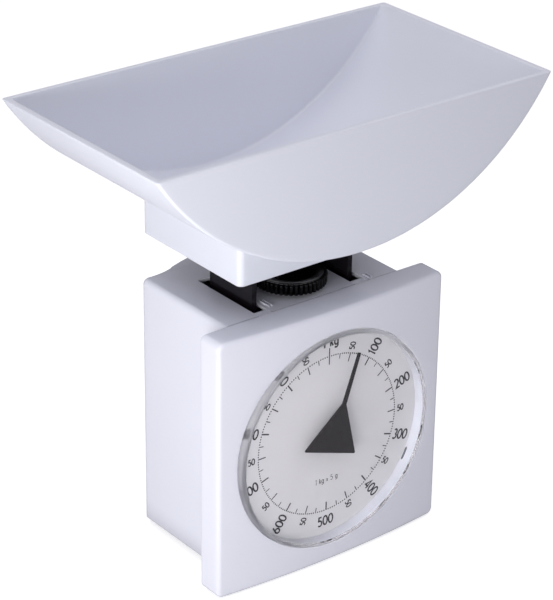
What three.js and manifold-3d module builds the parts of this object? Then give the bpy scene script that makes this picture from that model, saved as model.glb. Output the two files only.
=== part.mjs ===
// Mechanical kitchen scale: a boat-shaped weighing tray on a sprung carriage, and a round dial
// read by a pointer on a rack and pinion.
//
// Millimetres, +Z up, X along the width of the dial, the dial facing -Y.
// The pieces are placed in the body's own coordinates: x = 0 is the middle, y = 0 is the back
// face of the bezel, z = 0 is the table. The exported group moves them back so that y = 0 is the
// middle of the tray.

import * as THREE from 'three';
import { mergeVertices } from 'three/addons/utils/BufferGeometryUtils.js';
import Module from 'manifold-3d';

const wasm = await Module();
wasm.setup();

// ---------------------------------------------------------------- driving dimensions (mm)

// clearances
const gap = 0.3; // between pieces that rest on or sit in each other
const pinGap = 0.1; // around a pin or shaft in its hole

// tray: a round-bottomed trough with flat ends, and a hollow skirt under it
const trayLength = 171.4;
const trayWidth = 92.6;
const trayDepth = 47.5;
const trayWall = 2.2;
const trayMiddle = 21.2; // its middle, behind the back of the bezel
const skirtLength = 69.8;
const skirtWidth = 58.5;
const skirtWall = 1.8;
const skirtMiddle = 27.9;
const skirtDrop = 12.9; // how far the skirt reaches below the tray
const skirtLift = 14.5; // its height above the housing's top, at rest

// bezel and dial
const bezelWidth = 102;
const bezelHeight = 102.3;
const bezelBottom = 1;
const bezelDepth = 10.6; // at its left and right edges
const bezelCrown = 2.9; // how far the front bows out in the middle
const bezelCorner = 2.5;
const bezelFrontWall = 2.2;
const bezelSideWall = 2;
const dialDrop = 0.85; // how far the dial's centre is below the bezel's
const lensRadius = 42.9;
const lensWall = 1.5;
const lensProud = 0.8; // of the middle of the bezel's front
const dialFace = -7.9;
const dialThickness = 0.8;
const collarWall = 2;

// rear housing
const housingWidth = 80.2;
const housingDepth = 51.5;
const housingStep = 0.8; // how far its top is below the bezel's
const housingBottom = 2.6;
const housingWall = 2;
const housingCorner = 3;
const bulgeWidth = 60.6; // the rear wall bows out in the middle
const bulgeDepth = 7.3;
const flangeThickness = 2;

// slots in the top of the housing, and the carriage arms that come up through them
const armSpacing = 43.6; // between the middles of the arms
const armThickness = 2;
const armDepth = 24.9;
const armMiddle = 19.95;
const armBottom = 16;
const slotWidth = 5.8;
const slotFront = 3.9;
const slotBack = 37.1;
const tabReach = 8.6; // the arms' inturned tabs
const crossheadThickness = 2.4;
const crossheadOverhang = 1.6;

// movement: one turn of the pointer is the dial's full scale
const fullScale = 1000; // grams
const restReading = 53; // grams, with the empty tray on and the zero not yet set
const pinionTeeth = 10;
const gearModule = 0.32;
const pressureAngle = THREE.MathUtils.degToRad(20);
const pinionAddendum = 0.3;
const rackAddendum = 0.18;
const toothRoot = 0.42;
const backlash = 0.12;
const travelDown = 9.6;
const travelUp = 0.6;
const shaftRadius = 0.75;
const pinionLength = 4.4;
const rackWidth = 3;
const rackThickness = 2.8;
const pivotDrop = 18.5; // where the rack hangs from its bracket, below the housing's top

// pointer
const pointerLength = 33.2;
const pointerTail = 5.75;
const pointerHalfBase = 12;
const pointerNeck = 13.35;
const pointerNeckHalf = 0.96;
const pointerTipHalf = 0.5;
const pointerBack = -11.4;
const pointerThickness = 0.5;

// zero adjuster and main spring
const knobRadius = 13.4;
const knobThickness = 4;
const knobLift = 1.7; // above the housing's top
const knobMiddle = 14.6;
const knobTeeth = 42;
const knurlDepth = 0.5;
const screwRadius = 2;
const springRadius = 5;
const springWire = 1.1;
const springTurns = 12;

// guide levers: an upper and a lower one keep the carriage upright
const leverLength = 26; // from its rear shaft to the studs on the arms
const leverLift = 5; // the studs' height above the shafts at rest
const upperStudDrop = 14.5; // below the housing's top
const lowerStudHeight = 24;
const studRadius = 1.5;
const leverInner = 25; // inside face of a side bar, from the middle
const leverBar = 2.5;
const postInner = 30; // inside face of the posts that carry the rear shafts
const postThickness = 2.2;

// base and feet
const baseThickness = 2;
const footRadius = 5;
const footSpan = 52;
const frontFoot = 8;
const rearFoot = 44;

// ---------------------------------------------------------------- worked-out places

const bezelTop = bezelBottom + bezelHeight;
const bezelMiddle = bezelBottom + bezelHeight / 2;
const dialHeight = bezelMiddle - dialDrop;
const housingTop = bezelTop - housingStep;
const skirtBottomHeight = housingTop + skirtLift;
const trayBottomHeight = skirtBottomHeight + skirtDrop;
const pivotHeight = housingTop - pivotDrop;
const knobBottom = housingTop + knobLift;
const upperStudHeight = housingTop - upperStudDrop;
const troughRadius = ((trayLength / 2) ** 2 + trayDepth ** 2) / (2 * trayDepth);
const troughAxis = trayBottomHeight + troughRadius;
const trayRim = trayBottomHeight + trayDepth;
const crownRadius = ((bezelWidth / 2) ** 2 + bezelCrown ** 2) / (2 * bezelCrown);
const lensFront = -(bezelDepth + bezelCrown + lensProud);
const lensBack = dialFace - gap;
const collarRadius = lensRadius + gap;
const collarBack = dialFace + dialThickness;
const framePlateFront = collarBack + gap;
const framePlateBack = framePlateFront + 2;
const armInner = armSpacing / 2 - armThickness / 2;
const armOuter = armSpacing / 2 + armThickness / 2;
const armFront = armMiddle - armDepth / 2;
const armBack = armMiddle + armDepth / 2;
const armTop = skirtBottomHeight + 2.3;
const tabInner = armOuter - tabReach;
const crossheadBottom = armTop + gap;
const crossheadTop = crossheadBottom + crossheadThickness;
const slotInner = armSpacing / 2 - slotWidth / 2;
const slotOuter = armSpacing / 2 + slotWidth / 2;
const pitchRadius = pinionTeeth * gearModule / 2;
const toothPitch = Math.PI * gearModule;
const restAngle = restReading / fullScale * 2 * Math.PI;
const leverTilt = Math.atan(leverLift / leverLength);
const leverShaft = armMiddle + leverLength;
const hangerBottom = housingTop - 18.5;
const knobTop = knobBottom + knobThickness;
const baseTop = housingBottom + baseThickness;
const underside = housingTop - housingWall;
const flangeBack = -gap;
const flangeFront = flangeBack - flangeThickness;

// ---------------------------------------------------------------- materials

function plastic(color, roughness) {
  return new THREE.MeshStandardMaterial({ color, roughness, metalness: 0 });
}

function metal(color, roughness) {
  return new THREE.MeshStandardMaterial({ color, roughness, metalness: 1 });
}

const whiteGloss = plastic(0xeceef4, 0.18);
const whiteSatin = plastic(0xe2e3e8, 0.45);
const blackPlastic = plastic(0x131316, 0.4);
const blackPaint = plastic(0x18181c, 0.35);
const dialPaper = plastic(0xd6d7dc, 0.6);
const clearPlastic = plastic(0xf2f6fa, 0.05);
const rubber = plastic(0x2c2c2e, 0.85);
const steel = metal(0xb4b6ba, 0.35);
const springSteel = metal(0x9a9ca2, 0.3);
const brass = metal(0xb99346, 0.35);

// ---------------------------------------------------------------- geometry helpers

const alongX = new THREE.Matrix4().set(0, 0, 1, 0, 1, 0, 0, 0, 0, 1, 0, 0, 0, 0, 0, 1);

function toSolid(geometry) {
  const bare = geometry.clone();
  bare.deleteAttribute('normal');
  bare.deleteAttribute('uv');
  const merged = mergeVertices(bare, 1e-4);
  return new wasm.Manifold(new wasm.Mesh({
    numProp: 3,
    vertProperties: new Float32Array(merged.attributes.position.array),
    triVerts: new Uint32Array(merged.index.array),
  }));
}

function toGeometry(solid) {
  const mesh = solid.getMesh();
  const geometry = new THREE.BufferGeometry();
  geometry.setAttribute('position', new THREE.BufferAttribute(mesh.vertProperties, 3));
  geometry.setIndex(new THREE.BufferAttribute(mesh.triVerts, 1));
  geometry.computeVertexNormals();
  return geometry;
}

function join(first, ...others) {
  return toGeometry(others.reduce((sum, part) => sum.add(toSolid(part)), toSolid(first)));
}

function cut(body, ...tools) {
  return toGeometry(tools.reduce((rest, tool) => rest.subtract(toSolid(tool)), toSolid(body)));
}

function common(a, b) {
  return toGeometry(toSolid(a).intersect(toSolid(b)));
}

function block(x0, x1, y0, y1, z0, z1) {
  const geometry = new THREE.BoxGeometry(x1 - x0, y1 - y0, z1 - z0);
  return geometry.translate((x0 + x1) / 2, (y0 + y1) / 2, (z0 + z1) / 2);
}

function rodX(radius, x0, x1, y, z, sides = 20) {
  const geometry = new THREE.CylinderGeometry(radius, radius, x1 - x0, sides);
  return geometry.rotateZ(-Math.PI / 2).translate((x0 + x1) / 2, y, z);
}

function rodY(radius, y0, y1, x, z, sides = 20) {
  const geometry = new THREE.CylinderGeometry(radius, radius, y1 - y0, sides);
  return geometry.translate(x, (y0 + y1) / 2, z);
}

function rodZ(radius, z0, z1, x, y, sides = 20) {
  const geometry = new THREE.CylinderGeometry(radius, radius, z1 - z0, sides);
  return geometry.rotateX(Math.PI / 2).translate(x, y, (z0 + z1) / 2);
}

// an outline in X and Y, raised from z0 to z1
function raiseZ(shape, z0, z1, curveSegments = 12) {
  const options = { depth: z1 - z0, bevelEnabled: false, curveSegments };
  return new THREE.ExtrudeGeometry(shape, options).translate(0, 0, z0);
}

// an outline in X and Z, carried from y0 to y1
function raiseY(shape, y0, y1, curveSegments = 12) {
  const options = { depth: y1 - y0, bevelEnabled: false, curveSegments };
  return new THREE.ExtrudeGeometry(shape, options).rotateX(Math.PI / 2).translate(0, y1, 0);
}

// an outline in Y and Z, carried from x0 to x1
function raiseX(shape, x0, x1, curveSegments = 12) {
  const options = { depth: x1 - x0, bevelEnabled: false, curveSegments };
  return new THREE.ExtrudeGeometry(shape, options).applyMatrix4(alongX).translate(x0, 0, 0);
}

function polygon(points) {
  return new THREE.Shape(points.map(([a, b]) => new THREE.Vector2(a, b)));
}

function roundedRectangle(a0, a1, b0, b1, radius) {
  const shape = new THREE.Shape();
  shape.moveTo(a0 + radius, b0);
  shape.lineTo(a1 - radius, b0);
  shape.absarc(a1 - radius, b0 + radius, radius, -Math.PI / 2, 0, false);
  shape.lineTo(a1, b1 - radius);
  shape.absarc(a1 - radius, b1 - radius, radius, 0, Math.PI / 2, false);
  shape.lineTo(a0 + radius, b1);
  shape.absarc(a0 + radius, b1 - radius, radius, Math.PI / 2, Math.PI, false);
  shape.lineTo(a0, b0 + radius);
  shape.absarc(a0 + radius, b0 + radius, radius, Math.PI, Math.PI * 1.5, false);
  return shape;
}

// a profile of radius and distance turned about an axis along Y, at x = 0 and the dial's height
function turnY(profile, sides) {
  const points = profile.map(([radius, y]) => new THREE.Vector2(radius, y));
  return new THREE.LatheGeometry(points, sides).translate(0, 0, dialHeight);
}

const nodes = [];

function piece(name, geometry, material) {
  const mesh = new THREE.Mesh(geometry, material);
  mesh.name = name;
  nodes.push(mesh);
  return mesh;
}

// ---------------------------------------------------------------- tray

// the segment of a circle that is the trough's end view, moved in by a wall
function troughOutline(wall, top) {
  const radius = troughRadius - wall;
  const rim = Math.acos((troughAxis - trayRim) / radius);
  const shape = new THREE.Shape();
  shape.absarc(0, troughAxis, radius, -Math.PI / 2 - rim, -Math.PI / 2 + rim, false);
  if (top > trayRim) {
    const halfRim = radius * Math.sin(rim);
    shape.lineTo(halfRim + (top - trayRim), top);
    shape.lineTo(-halfRim - (top - trayRim), top);
  }
  return shape;
}

function makeTray() {
  const halfWidth = trayWidth / 2;
  const front = trayMiddle - halfWidth;
  const back = trayMiddle + halfWidth;
  const shell = raiseY(troughOutline(0, trayRim), front, back, 44);
  const hollow = raiseY(troughOutline(trayWall, trayRim + 5), front + trayWall, back - trayWall, 44);
  const skirtTop = trayRim - trayDepth / 2;
  const x = skirtLength / 2;
  const y0 = skirtMiddle - skirtWidth / 2;
  const y1 = skirtMiddle + skirtWidth / 2;
  const skirt = cut(
    raiseZ(roundedRectangle(-x, x, y0, y1, skirtWall), skirtBottomHeight, skirtTop, 3),
    block(-x + skirtWall, x - skirtWall, y0 + skirtWall, y1 - skirtWall, 0, skirtTop + 1),
  );
  const seatBottom = crossheadTop + gap;
  const supports = [-1, 1].map((side) => {
    const middle = side * armSpacing / 2;
    return block(middle - 0.9, middle + 0.9, armFront + 1, armBack - 1, seatBottom, skirtTop);
  });
  const pegs = [armFront + 4.5, armBack - 4.5].map((y) => {
    return rodZ(2.4, crossheadBottom - 1.2, skirtTop, 0, y, 16);
  });
  return cut(join(shell, skirt, ...supports, ...pegs), hollow);
}

// ---------------------------------------------------------------- carriage

function makeArm(side) {
  const hole = (y, z) => rodX(studRadius + pinGap, armInner - 1, armOuter + 1, y, z, 12);
  const tabs = [armBottom, armTop - armThickness].map((z) => {
    return block(tabInner, armOuter - 0.5, armFront, armBack, z, z + armThickness);
  });
  const plate = join(block(armInner, armOuter, armFront, armBack, armBottom, armTop), ...tabs);
  const holes = [hole(armMiddle, upperStudHeight), hole(armMiddle, lowerStudHeight)];
  for (const y of rivetRows) {
    holes.push(rodZ(rivetRadius + pinGap, armTop - 3, armTop + 1, tabRivet, y, 8));
  }
  holes.push(rodZ(rivetRadius + pinGap, armBottom - 1, armBottom + 3, tabRivet, armMiddle, 8));
  if (side > 0) {
    for (const z of bracketRivets) {
      holes.push(rodX(rivetRadius + pinGap, armInner - 1, armOuter + 1, bracketRivetDepth, z, 8));
    }
  }
  const arm = cut(plate, ...holes);
  return side > 0 ? arm : mirrorX(arm);
}

// the mirror image across x = 0, with the triangles turned so that they still face out
function mirrorX(geometry) {
  const copy = geometry.clone().scale(-1, 1, 1);
  const index = copy.index.array;
  for (let i = 0; i < index.length; i += 3) {
    [index[i], index[i + 1]] = [index[i + 1], index[i]];
  }
  copy.computeVertexNormals();
  return copy;
}

const rivetRadius = 1.2;
const rivetHead = 2.2;
const tabRivet = armInner - 3.4;
const rivetRows = [armFront + 4, armBack - 4];
const bracketRivets = [pivotHeight - 2.2, pivotHeight + 2.2];
const bracketRivetDepth = armFront + 4;

function makeCrosshead() {
  const x = armOuter + crossheadOverhang;
  const plate = raiseZ(
    roundedRectangle(-x, x, armFront - 1, armBack + 1, 2),
    crossheadBottom,
    crossheadTop,
    3,
  );
  const holes = [armFront + 4.5, armBack - 4.5].map((y) => {
    return rodZ(2.4 + gap, crossheadBottom - 1, crossheadTop + 1, 0, y, 16);
  });
  for (const y of rivetRows) {
    for (const side of [-1, 1]) {
      holes.push(rodZ(rivetRadius + pinGap, crossheadBottom - 1, crossheadTop + 1,
        side * tabRivet, y, 8));
    }
  }
  return cut(plate, ...holes);
}

// a rivet along Z through a stack from z0 to z1, with a head at each end
function makeRivetZ(x, y, z0, z1) {
  return join(
    rodZ(rivetRadius, z0 - 0.6, z1 + 0.6, x, y, 8),
    rodZ(rivetHead, z0 - 0.9, z0 - pinGap, x, y, 10),
    rodZ(rivetHead, z1 + pinGap, z1 + 0.9, x, y, 10),
  );
}

function makeRivetX(x0, x1, y, z) {
  return join(
    rodX(rivetRadius, x0 - 0.6, x1 + 0.6, y, z, 8),
    rodX(rivetHead - 0.4, x0 - 0.9, x0 - pinGap, y, z, 10),
    rodX(rivetHead - 0.4, x1 + pinGap, x1 + 0.9, y, z, 10),
  );
}

const bridgeBottom = armBottom + armThickness + gap;
const bridgeTop = bridgeBottom + 2;
const hookEye = 3.2; // from the bridge or the hanger to the middle of the eye

function makeLowerBridge() {
  const lug = block(-4, 4, knobMiddle - 0.8, knobMiddle + 0.8, bridgeTop - 1, bridgeTop + hookEye + 3);
  const plate = block(-armInner + gap, armInner - gap, armFront, armBack, bridgeBottom, bridgeTop);
  const holes = [-1, 1].map((side) => {
    return rodZ(rivetRadius + pinGap, bridgeBottom - 1, bridgeTop + 1, side * tabRivet, armMiddle, 8);
  });
  return cut(join(plate, lug), ...holes, rodY(1.4, 0, 30, 0, bridgeTop + hookEye, 16));
}

function makeStud(side, height) {
  const inner = armInner - 0.5;
  const outer = leverInner + leverBar + 1;
  const stud = join(
    rodX(studRadius, inner, outer, armMiddle, height, 12),
    rodX(studRadius + 1, armOuter + gap, leverInner - gap, armMiddle, height, 12),
  );
  return side > 0 ? stud : mirrorX(stud);
}

const bracketInner = 1.6;
const bracketHeight = 8;
const rackPivot = pitchRadius + toothRoot + rackThickness / 2;
const rackEye = 2.3;
const bracketEdge = rackPivot + rackEye + 0.2;

// a bracket on the right arm that reaches forward to the rack
function makeRackBracket() {
  const bracket = raiseZ(polygon([
    [armInner - gap, armFront + 7],
    [armInner - gap - 1.8, armFront + 7],
    [armInner - gap - 1.8, 6.2],
    [bracketInner, 6.2],
    [bracketInner, rackWidth / 2 + 0.4],
    [bracketEdge, rackWidth / 2 + 0.4],
    [bracketEdge, 4.4],
    [armInner - gap, 4.4],
  ]), pivotHeight - bracketHeight / 2, pivotHeight + bracketHeight / 2);
  const holes = bracketRivets.map((z) => {
    return rodX(rivetRadius + pinGap, armInner - 5, armInner, bracketRivetDepth, z, 8);
  });
  return cut(bracket, ...holes, rodY(1 + pinGap, 0, 8, rackPivot, pivotHeight, 16));
}

// ---------------------------------------------------------------- rack and pinion

function makeRack() {
  const root = pitchRadius + toothRoot;
  const tip = pitchRadius - rackAddendum;
  const slope = Math.tan(pressureAngle);
  const halfPitch = (toothPitch - backlash) / 4;
  const outline = [[root + rackThickness, dialHeight - 4], [root, dialHeight - 4]];
  const teeth = Math.ceil((travelDown + 6) / toothPitch);
  for (let tooth = -3; tooth < teeth - 3; tooth += 1) {
    const middle = dialHeight + (tooth + 0.5) * toothPitch;
    const wide = halfPitch + toothRoot * slope;
    const narrow = halfPitch - rackAddendum * slope;
    outline.push([root, middle - wide], [tip, middle - narrow]);
    outline.push([tip, middle + narrow], [root, middle + wide]);
  }
  outline.push([root, pivotHeight + 3], [root + rackThickness, pivotHeight + 3]);
  const bar = raiseY(polygon(outline), -rackWidth / 2, rackWidth / 2);
  const eye = rodY(rackEye, -rackWidth / 2, rackWidth / 2, rackPivot, pivotHeight, 16);
  return cut(join(bar, eye), rodY(1 + pinGap, -3, 3, rackPivot, pivotHeight, 14));
}

function makeRackPin() {
  return join(
    rodY(1, -rackWidth / 2 - 0.6, 6.8, rackPivot, pivotHeight, 14),
    rodY(1.8, -rackWidth / 2 - 1.2, -rackWidth / 2 - gap, rackPivot, pivotHeight, 14),
    rodY(1.8, 6.2 + gap, 7.3, rackPivot, pivotHeight, 14),
  );
}

// a leaf spring that keeps the rack against the pinion
function makeRackSpring() {
  const back = pitchRadius + toothRoot + rackThickness;
  const root = bracketEdge + 0.25;
  const leaf = 0.35;
  return raiseY(polygon([
    [root, pivotHeight + 3.5],
    [root, pivotHeight - 6],
    [back + gap, pivotHeight - 19],
    [back + gap + 0.5, pivotHeight - 22],
    [back + gap + 0.5 + leaf, pivotHeight - 22],
    [back + gap + leaf, pivotHeight - 19],
    [root + leaf, pivotHeight - 6],
    [root + leaf, pivotHeight + 3.5],
  ]), -rackWidth / 2 + 0.3, 3.8);
}

// involute flanks above the base circle, straight ones below it
function makePinion() {
  const tipRadius = pitchRadius + pinionAddendum;
  const rootRadius = pitchRadius - toothRoot;
  const baseRadius = pitchRadius * Math.cos(pressureAngle);
  const involute = (radius) => {
    const along = Math.sqrt(Math.max((radius / baseRadius) ** 2 - 1, 0));
    return along - Math.atan(along);
  };
  const halfTooth = (toothPitch - backlash) / 4 / pitchRadius + involute(pitchRadius);
  const outline = [];
  for (let tooth = 0; tooth < pinionTeeth; tooth += 1) {
    const middle = tooth * 2 * Math.PI / pinionTeeth;
    const flank = [rootRadius, baseRadius, pitchRadius, tipRadius].map((radius) => {
      return [radius, halfTooth - involute(radius)];
    });
    const falling = [...flank].reverse();
    for (const [radius, half] of flank) {
      outline.push([radius * Math.cos(middle - half), radius * Math.sin(middle - half)]);
    }
    for (const [radius, half] of falling) {
      outline.push([radius * Math.cos(middle + half), radius * Math.sin(middle + half)]);
    }
  }
  const gear = raiseY(polygon(outline), -pinionLength / 2, pinionLength / 2);
  return cut(gear.translate(0, 0, dialHeight), rodY(shaftRadius + 0.05, -3, 3, 0, dialHeight, 16));
}

const bearingPlate = 4.2; // front of the rear bearing bracket
const bearingPost = 14;

function makeShaft() {
  return rodY(shaftRadius, pointerBack + 0.3, bearingPlate + 2.3, 0, dialHeight, 16);
}

function makePointer() {
  const plate = raiseY(polygon([
    [-pointerHalfBase, -pointerTail],
    [pointerHalfBase, -pointerTail],
    [pointerNeckHalf, pointerNeck],
    [pointerTipHalf, pointerLength],
    [-pointerTipHalf, pointerLength],
    [-pointerNeckHalf, pointerNeck],
  ]), pointerBack - pointerThickness, pointerBack);
  const hub = rodY(2.1, pointerBack - 0.1, dialFace - 0.7, 0, 0, 20);
  const bore = rodY(shaftRadius + 0.05, pointerBack + 0.15, 0, 0, 0, 16);
  return cut(join(plate, hub), bore).rotateY(restAngle).translate(0, 0, dialHeight);
}

function makeFrontBush() {
  return turnY([
    [shaftRadius + 0.05, framePlateFront],
    [3, framePlateFront],
    [3, framePlateBack + 0.1],
    [4, framePlateBack + 0.1],
    [4, framePlateBack + 1.4],
    [shaftRadius + 0.05, framePlateBack + 1.4],
    [shaftRadius + 0.05, framePlateFront],
  ], 16);
}

function makeRearBush() {
  return turnY([
    [shaftRadius + 0.05, bearingPlate - 0.9],
    [3, bearingPlate - 0.9],
    [3, bearingPlate - 0.1],
    [2.2, bearingPlate - 0.1],
    [2.2, bearingPlate + 1.8],
    [shaftRadius + 0.05, bearingPlate + 1.8],
    [shaftRadius + 0.05, bearingPlate - 0.9],
  ], 16);
}

function makeBearingBracket() {
  const plate = raiseY(
    roundedRectangle(-bearingPost - 4, bearingPost + 4, dialHeight - 4, dialHeight + 4, 1.5),
    bearingPlate,
    bearingPlate + 1.6,
    3,
  );
  const holes = [-bearingPost, bearingPost].map((x) => rodY(1.4, 0, 9, x, dialHeight, 8));
  return cut(plate, ...holes, rodY(2.2 + pinGap, 0, 9, 0, dialHeight, 20));
}

// a pan-head screw along Y: its head's back at y, its shank running forward
function makeScrewY(x, y, z, length, shank, head) {
  return join(rodY(shank, y - length, y, x, z, 8), rodY(head, y, y + 1.5, x, z, 12));
}

// ---------------------------------------------------------------- front

// the bezel's plan: a straight back, straight sides and a bowed front, moved in by a wall
function bezelPlan(side, front, back) {
  const half = bezelWidth / 2 - side;
  const radius = crownRadius - front;
  const axis = crownRadius - bezelDepth - bezelCrown;
  const sweep = Math.asin(half / radius);
  const shape = new THREE.Shape();
  shape.moveTo(half, back);
  shape.lineTo(-half, back);
  shape.absarc(0, axis, radius, -Math.PI / 2 - sweep, -Math.PI / 2 + sweep, false);
  return shape;
}

const cornerBoss = { x: bezelWidth / 2 - 6.6, z: bezelHeight / 2 - 7 };
const framePost = 36;

function makeBezel() {
  const depth = bezelDepth + bezelCrown;
  const top = bezelTop;
  const half = bezelWidth / 2;
  const block0 = raiseZ(bezelPlan(0, 0, 0), bezelBottom, top, 16);
  const face = raiseY(roundedRectangle(-half, half, bezelBottom, top, bezelCorner), -depth - 1, 1, 3);
  const hollow = raiseZ(
    bezelPlan(bezelSideWall, bezelFrontWall, 1),
    bezelBottom + bezelSideWall,
    top - bezelSideWall,
    16,
  );
  const inner = raiseZ(bezelPlan(0.5, 0.5, 0), bezelBottom, top, 16);
  const collar = rodY(collarRadius + collarWall, -depth, collarBack, 0, dialHeight, 48);
  const posts = [];
  const holes = [];
  for (const sx of [-1, 1]) {
    for (const sz of [-1, 1]) {
      const x = sx * cornerBoss.x;
      const z = bezelMiddle + sz * cornerBoss.z;
      posts.push(rodY(3.2, -depth, flangeFront - gap, x, z, 12));
      holes.push(rodY(1.4 + pinGap, -9.2, 0, x, z, 8));
      posts.push(rodY(3, -depth, framePlateFront - gap, sx * framePost, dialHeight + sz * framePost, 12));
      holes.push(rodY(1.1 + pinGap, -11, 0, sx * framePost, dialHeight + sz * framePost, 8));
    }
  }
  const inside = common(join(collar, ...posts), inner);
  const frame = join(cut(common(block0, face), hollow), inside);
  return cut(frame, rodY(collarRadius, -depth - 5, 1, 0, dialHeight, 48), ...holes);
}

function makeLens() {
  const edge = 1;
  const inner = lensRadius - lensWall;
  const inside = lensFront + 1.8;
  return turnY([
    [0, lensFront],
    [lensRadius - edge, lensFront],
    [lensRadius - edge * 0.3, lensFront + edge * 0.3],
    [lensRadius, lensFront + edge],
    [lensRadius, lensBack],
    [inner, lensBack],
    [inner, inside],
    [0, inside],
  ], 48);
}

function makeDialPlate() {
  return cut(
    rodY(lensRadius - 0.1, dialFace, collarBack, 0, dialHeight, 48),
    rodY(2.7, -20, 0, 0, dialHeight, 20),
  );
}

function makeMechanismFrame() {
  const disc = rodY(collarRadius + collarWall + 0.6, framePlateFront, framePlateBack, 0, dialHeight, 48);
  const half = framePost + 3.2;
  const square = raiseY(
    roundedRectangle(-half, half, dialHeight - half, dialHeight + half, 3),
    framePlateFront,
    framePlateBack,
    3,
  );
  const posts = [-bearingPost, bearingPost].map((x) => {
    return rodY(2.8, framePlateBack - 0.5, bearingPlate - pinGap, x, dialHeight, 12);
  });
  const tongues = [-1, 1].map((side) => {
    const x0 = side * armSpacing / 2 - slotWidth / 2 + pinGap;
    const x1 = side * armSpacing / 2 + slotWidth / 2 - pinGap;
    const rise = dialHeight + half - 6;
    return join(
      block(x0, x1, framePlateFront, gap + 0.1, rise, underside - gap),
      block(x0, x1, gap, slotFront, underside - 6, housingTop - 0.1),
    );
  });
  const holes = [-bearingPost, bearingPost].map((x) => {
    return rodY(1.1, framePlateBack + 1, bearingPlate + 1, x, dialHeight, 8);
  });
  for (const sx of [-1, 1]) {
    for (const sz of [-1, 1]) {
      holes.push(rodY(1.3, -10, 0, sx * framePost, dialHeight + sz * framePost, 8));
    }
  }
  const bush = rodY(3 + pinGap, -10, 0, 0, dialHeight, 24);
  return cut(join(disc, square, ...posts, ...tongues), ...holes, bush);
}

// ---------------------------------------------------------------- rear housing and base

// the housing's plan from y = front: straight sides, rounded rear corners, and a rear wall that
// bows out in the middle; moved in by a wall
function housingPlan(front, wall) {
  const half = housingWidth / 2 - wall;
  const rear = housingDepth - wall;
  const corner = housingCorner;
  const outerRadius = ((bulgeWidth / 2) ** 2 + bulgeDepth ** 2) / (2 * bulgeDepth);
  const radius = outerRadius - wall;
  const axis = housingDepth + bulgeDepth - outerRadius;
  const sweep = Math.acos((rear - axis) / radius);
  const shape = new THREE.Shape();
  shape.moveTo(-half, front);
  shape.lineTo(half, front);
  shape.lineTo(half, rear - corner);
  shape.absarc(half - corner, rear - corner, corner, 0, Math.PI / 2, false);
  shape.absarc(0, axis, radius, Math.PI / 2 - sweep, Math.PI / 2 + sweep, false);
  shape.absarc(corner - half, rear - corner, corner, Math.PI / 2, Math.PI, false);
  return shape;
}

const baseScrews = [-1, 1].map((side) => {
  return { x: side * (housingWidth / 2 - 5.5), y: housingDepth / 2 };
});

function makeRearHousing() {
  const half = housingWidth / 2;
  const shell = cut(
    raiseZ(housingPlan(flangeFront, 0), housingBottom, housingTop, 8),
    raiseZ(housingPlan(flangeFront - 5, housingWall), housingBottom - 5, underside, 8),
  );
  const reach = bezelWidth / 2 - bezelSideWall - gap;
  const flangeLow = bezelBottom + bezelSideWall + gap;
  const flangeHigh = bezelTop - bezelSideWall - gap;
  const flange = cut(
    block(-reach, reach, flangeFront, flangeBack, flangeLow, flangeHigh),
    block(-half + housingWall, half - housingWall, -9, 9, flangeLow + 2, underside),
  );
  const posts = [-1, 1].map((side) => {
    const x = side * (postInner + postThickness / 2);
    return block(x - postThickness / 2, x + postThickness / 2, leverShaft - 4,
      housingDepth - housingWall + 0.8, 10, upperStudHeight + 4);
  });
  const bosses = baseScrews.map(({ x, y }) => rodZ(3.4, baseTop + gap, 14, x, y, 16));
  const bossWebs = baseScrews.map(({ x, y }) => {
    const side = Math.sign(x);
    const wall = side * (half - 0.5);
    return block(Math.min(x, wall), Math.max(x, wall), y - 1, y + 1, baseTop + gap, 14);
  });
  const rails = [-1, 1].map((side) => {
    const x = side * (hangerHalf + 0.6 + 0.9);
    return block(x - 0.9, x + 0.9, knobMiddle - 2.5, knobMiddle + 2.5, hangerBottom, underside + 0.5);
  });
  const tools = [
    block(-half - 1, half + 1, flangeFront - 1, gap, flangeHigh, housingTop + 1),
    block(-half - 1, half + 1, flangeFront - 1, gap, 0, flangeLow),
    rodZ(screwRadius + 0.6, underside - 1, housingTop + 1, 0, knobMiddle, 24),
  ];
  for (const side of [-1, 1]) {
    const x = side * armSpacing / 2;
    tools.push(block(x - slotWidth / 2, x + slotWidth / 2, flangeFront - 1, slotBack,
      underside - 1, housingTop + 1));
    for (const end of [-1, 1]) {
      tools.push(rodY(1.7, -9, 9, side * cornerBoss.x, bezelMiddle + end * cornerBoss.z, 8));
    }
  }
  for (const height of [upperStudHeight, lowerStudHeight]) {
    const wide = postInner + postThickness + 1;
    tools.push(rodX(studRadius + pinGap, -wide, wide, leverShaft, height - leverLift, 16));
  }
  for (const { x, y } of baseScrews) {
    tools.push(rodZ(1.2 + pinGap, 0, 11.5, x, y, 8));
  }
  return cut(join(shell, flange, ...posts, ...bosses, ...bossWebs, ...rails), ...tools);
}

function makeBasePlate() {
  const plate = raiseZ(housingPlan(gap + 0.2, housingWall + gap), housingBottom, baseTop, 8);
  const holes = baseScrews.map(({ x, y }) => rodZ(1.2 + gap, 0, 9, x, y, 8));
  for (const x of [-footSpan / 2, footSpan / 2]) {
    for (const y of [frontFoot, rearFoot]) {
      holes.push(rodZ(1.6 + pinGap, 0, 9, x, y, 10));
    }
  }
  holes.push(rodZ(1.6 + pinGap, 0, 9, 0, armMiddle, 10));
  return cut(plate, ...holes);
}

function makeFoot(x, y) {
  return join(
    rodZ(footRadius, 0, housingBottom - 0.2, x, y, 20),
    rodZ(1.6, 1, baseTop + 0.6, x, y, 10),
  );
}

// a rubber buffer that stops an overloaded carriage at the end of its travel
function makeOverloadStop() {
  return join(
    rodZ(4, baseTop + 0.2, bridgeBottom - travelDown - 0.3, 0, armMiddle, 16),
    rodZ(1.6, housingBottom + 0.2, baseTop + 1, 0, armMiddle, 10),
  );
}

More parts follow.
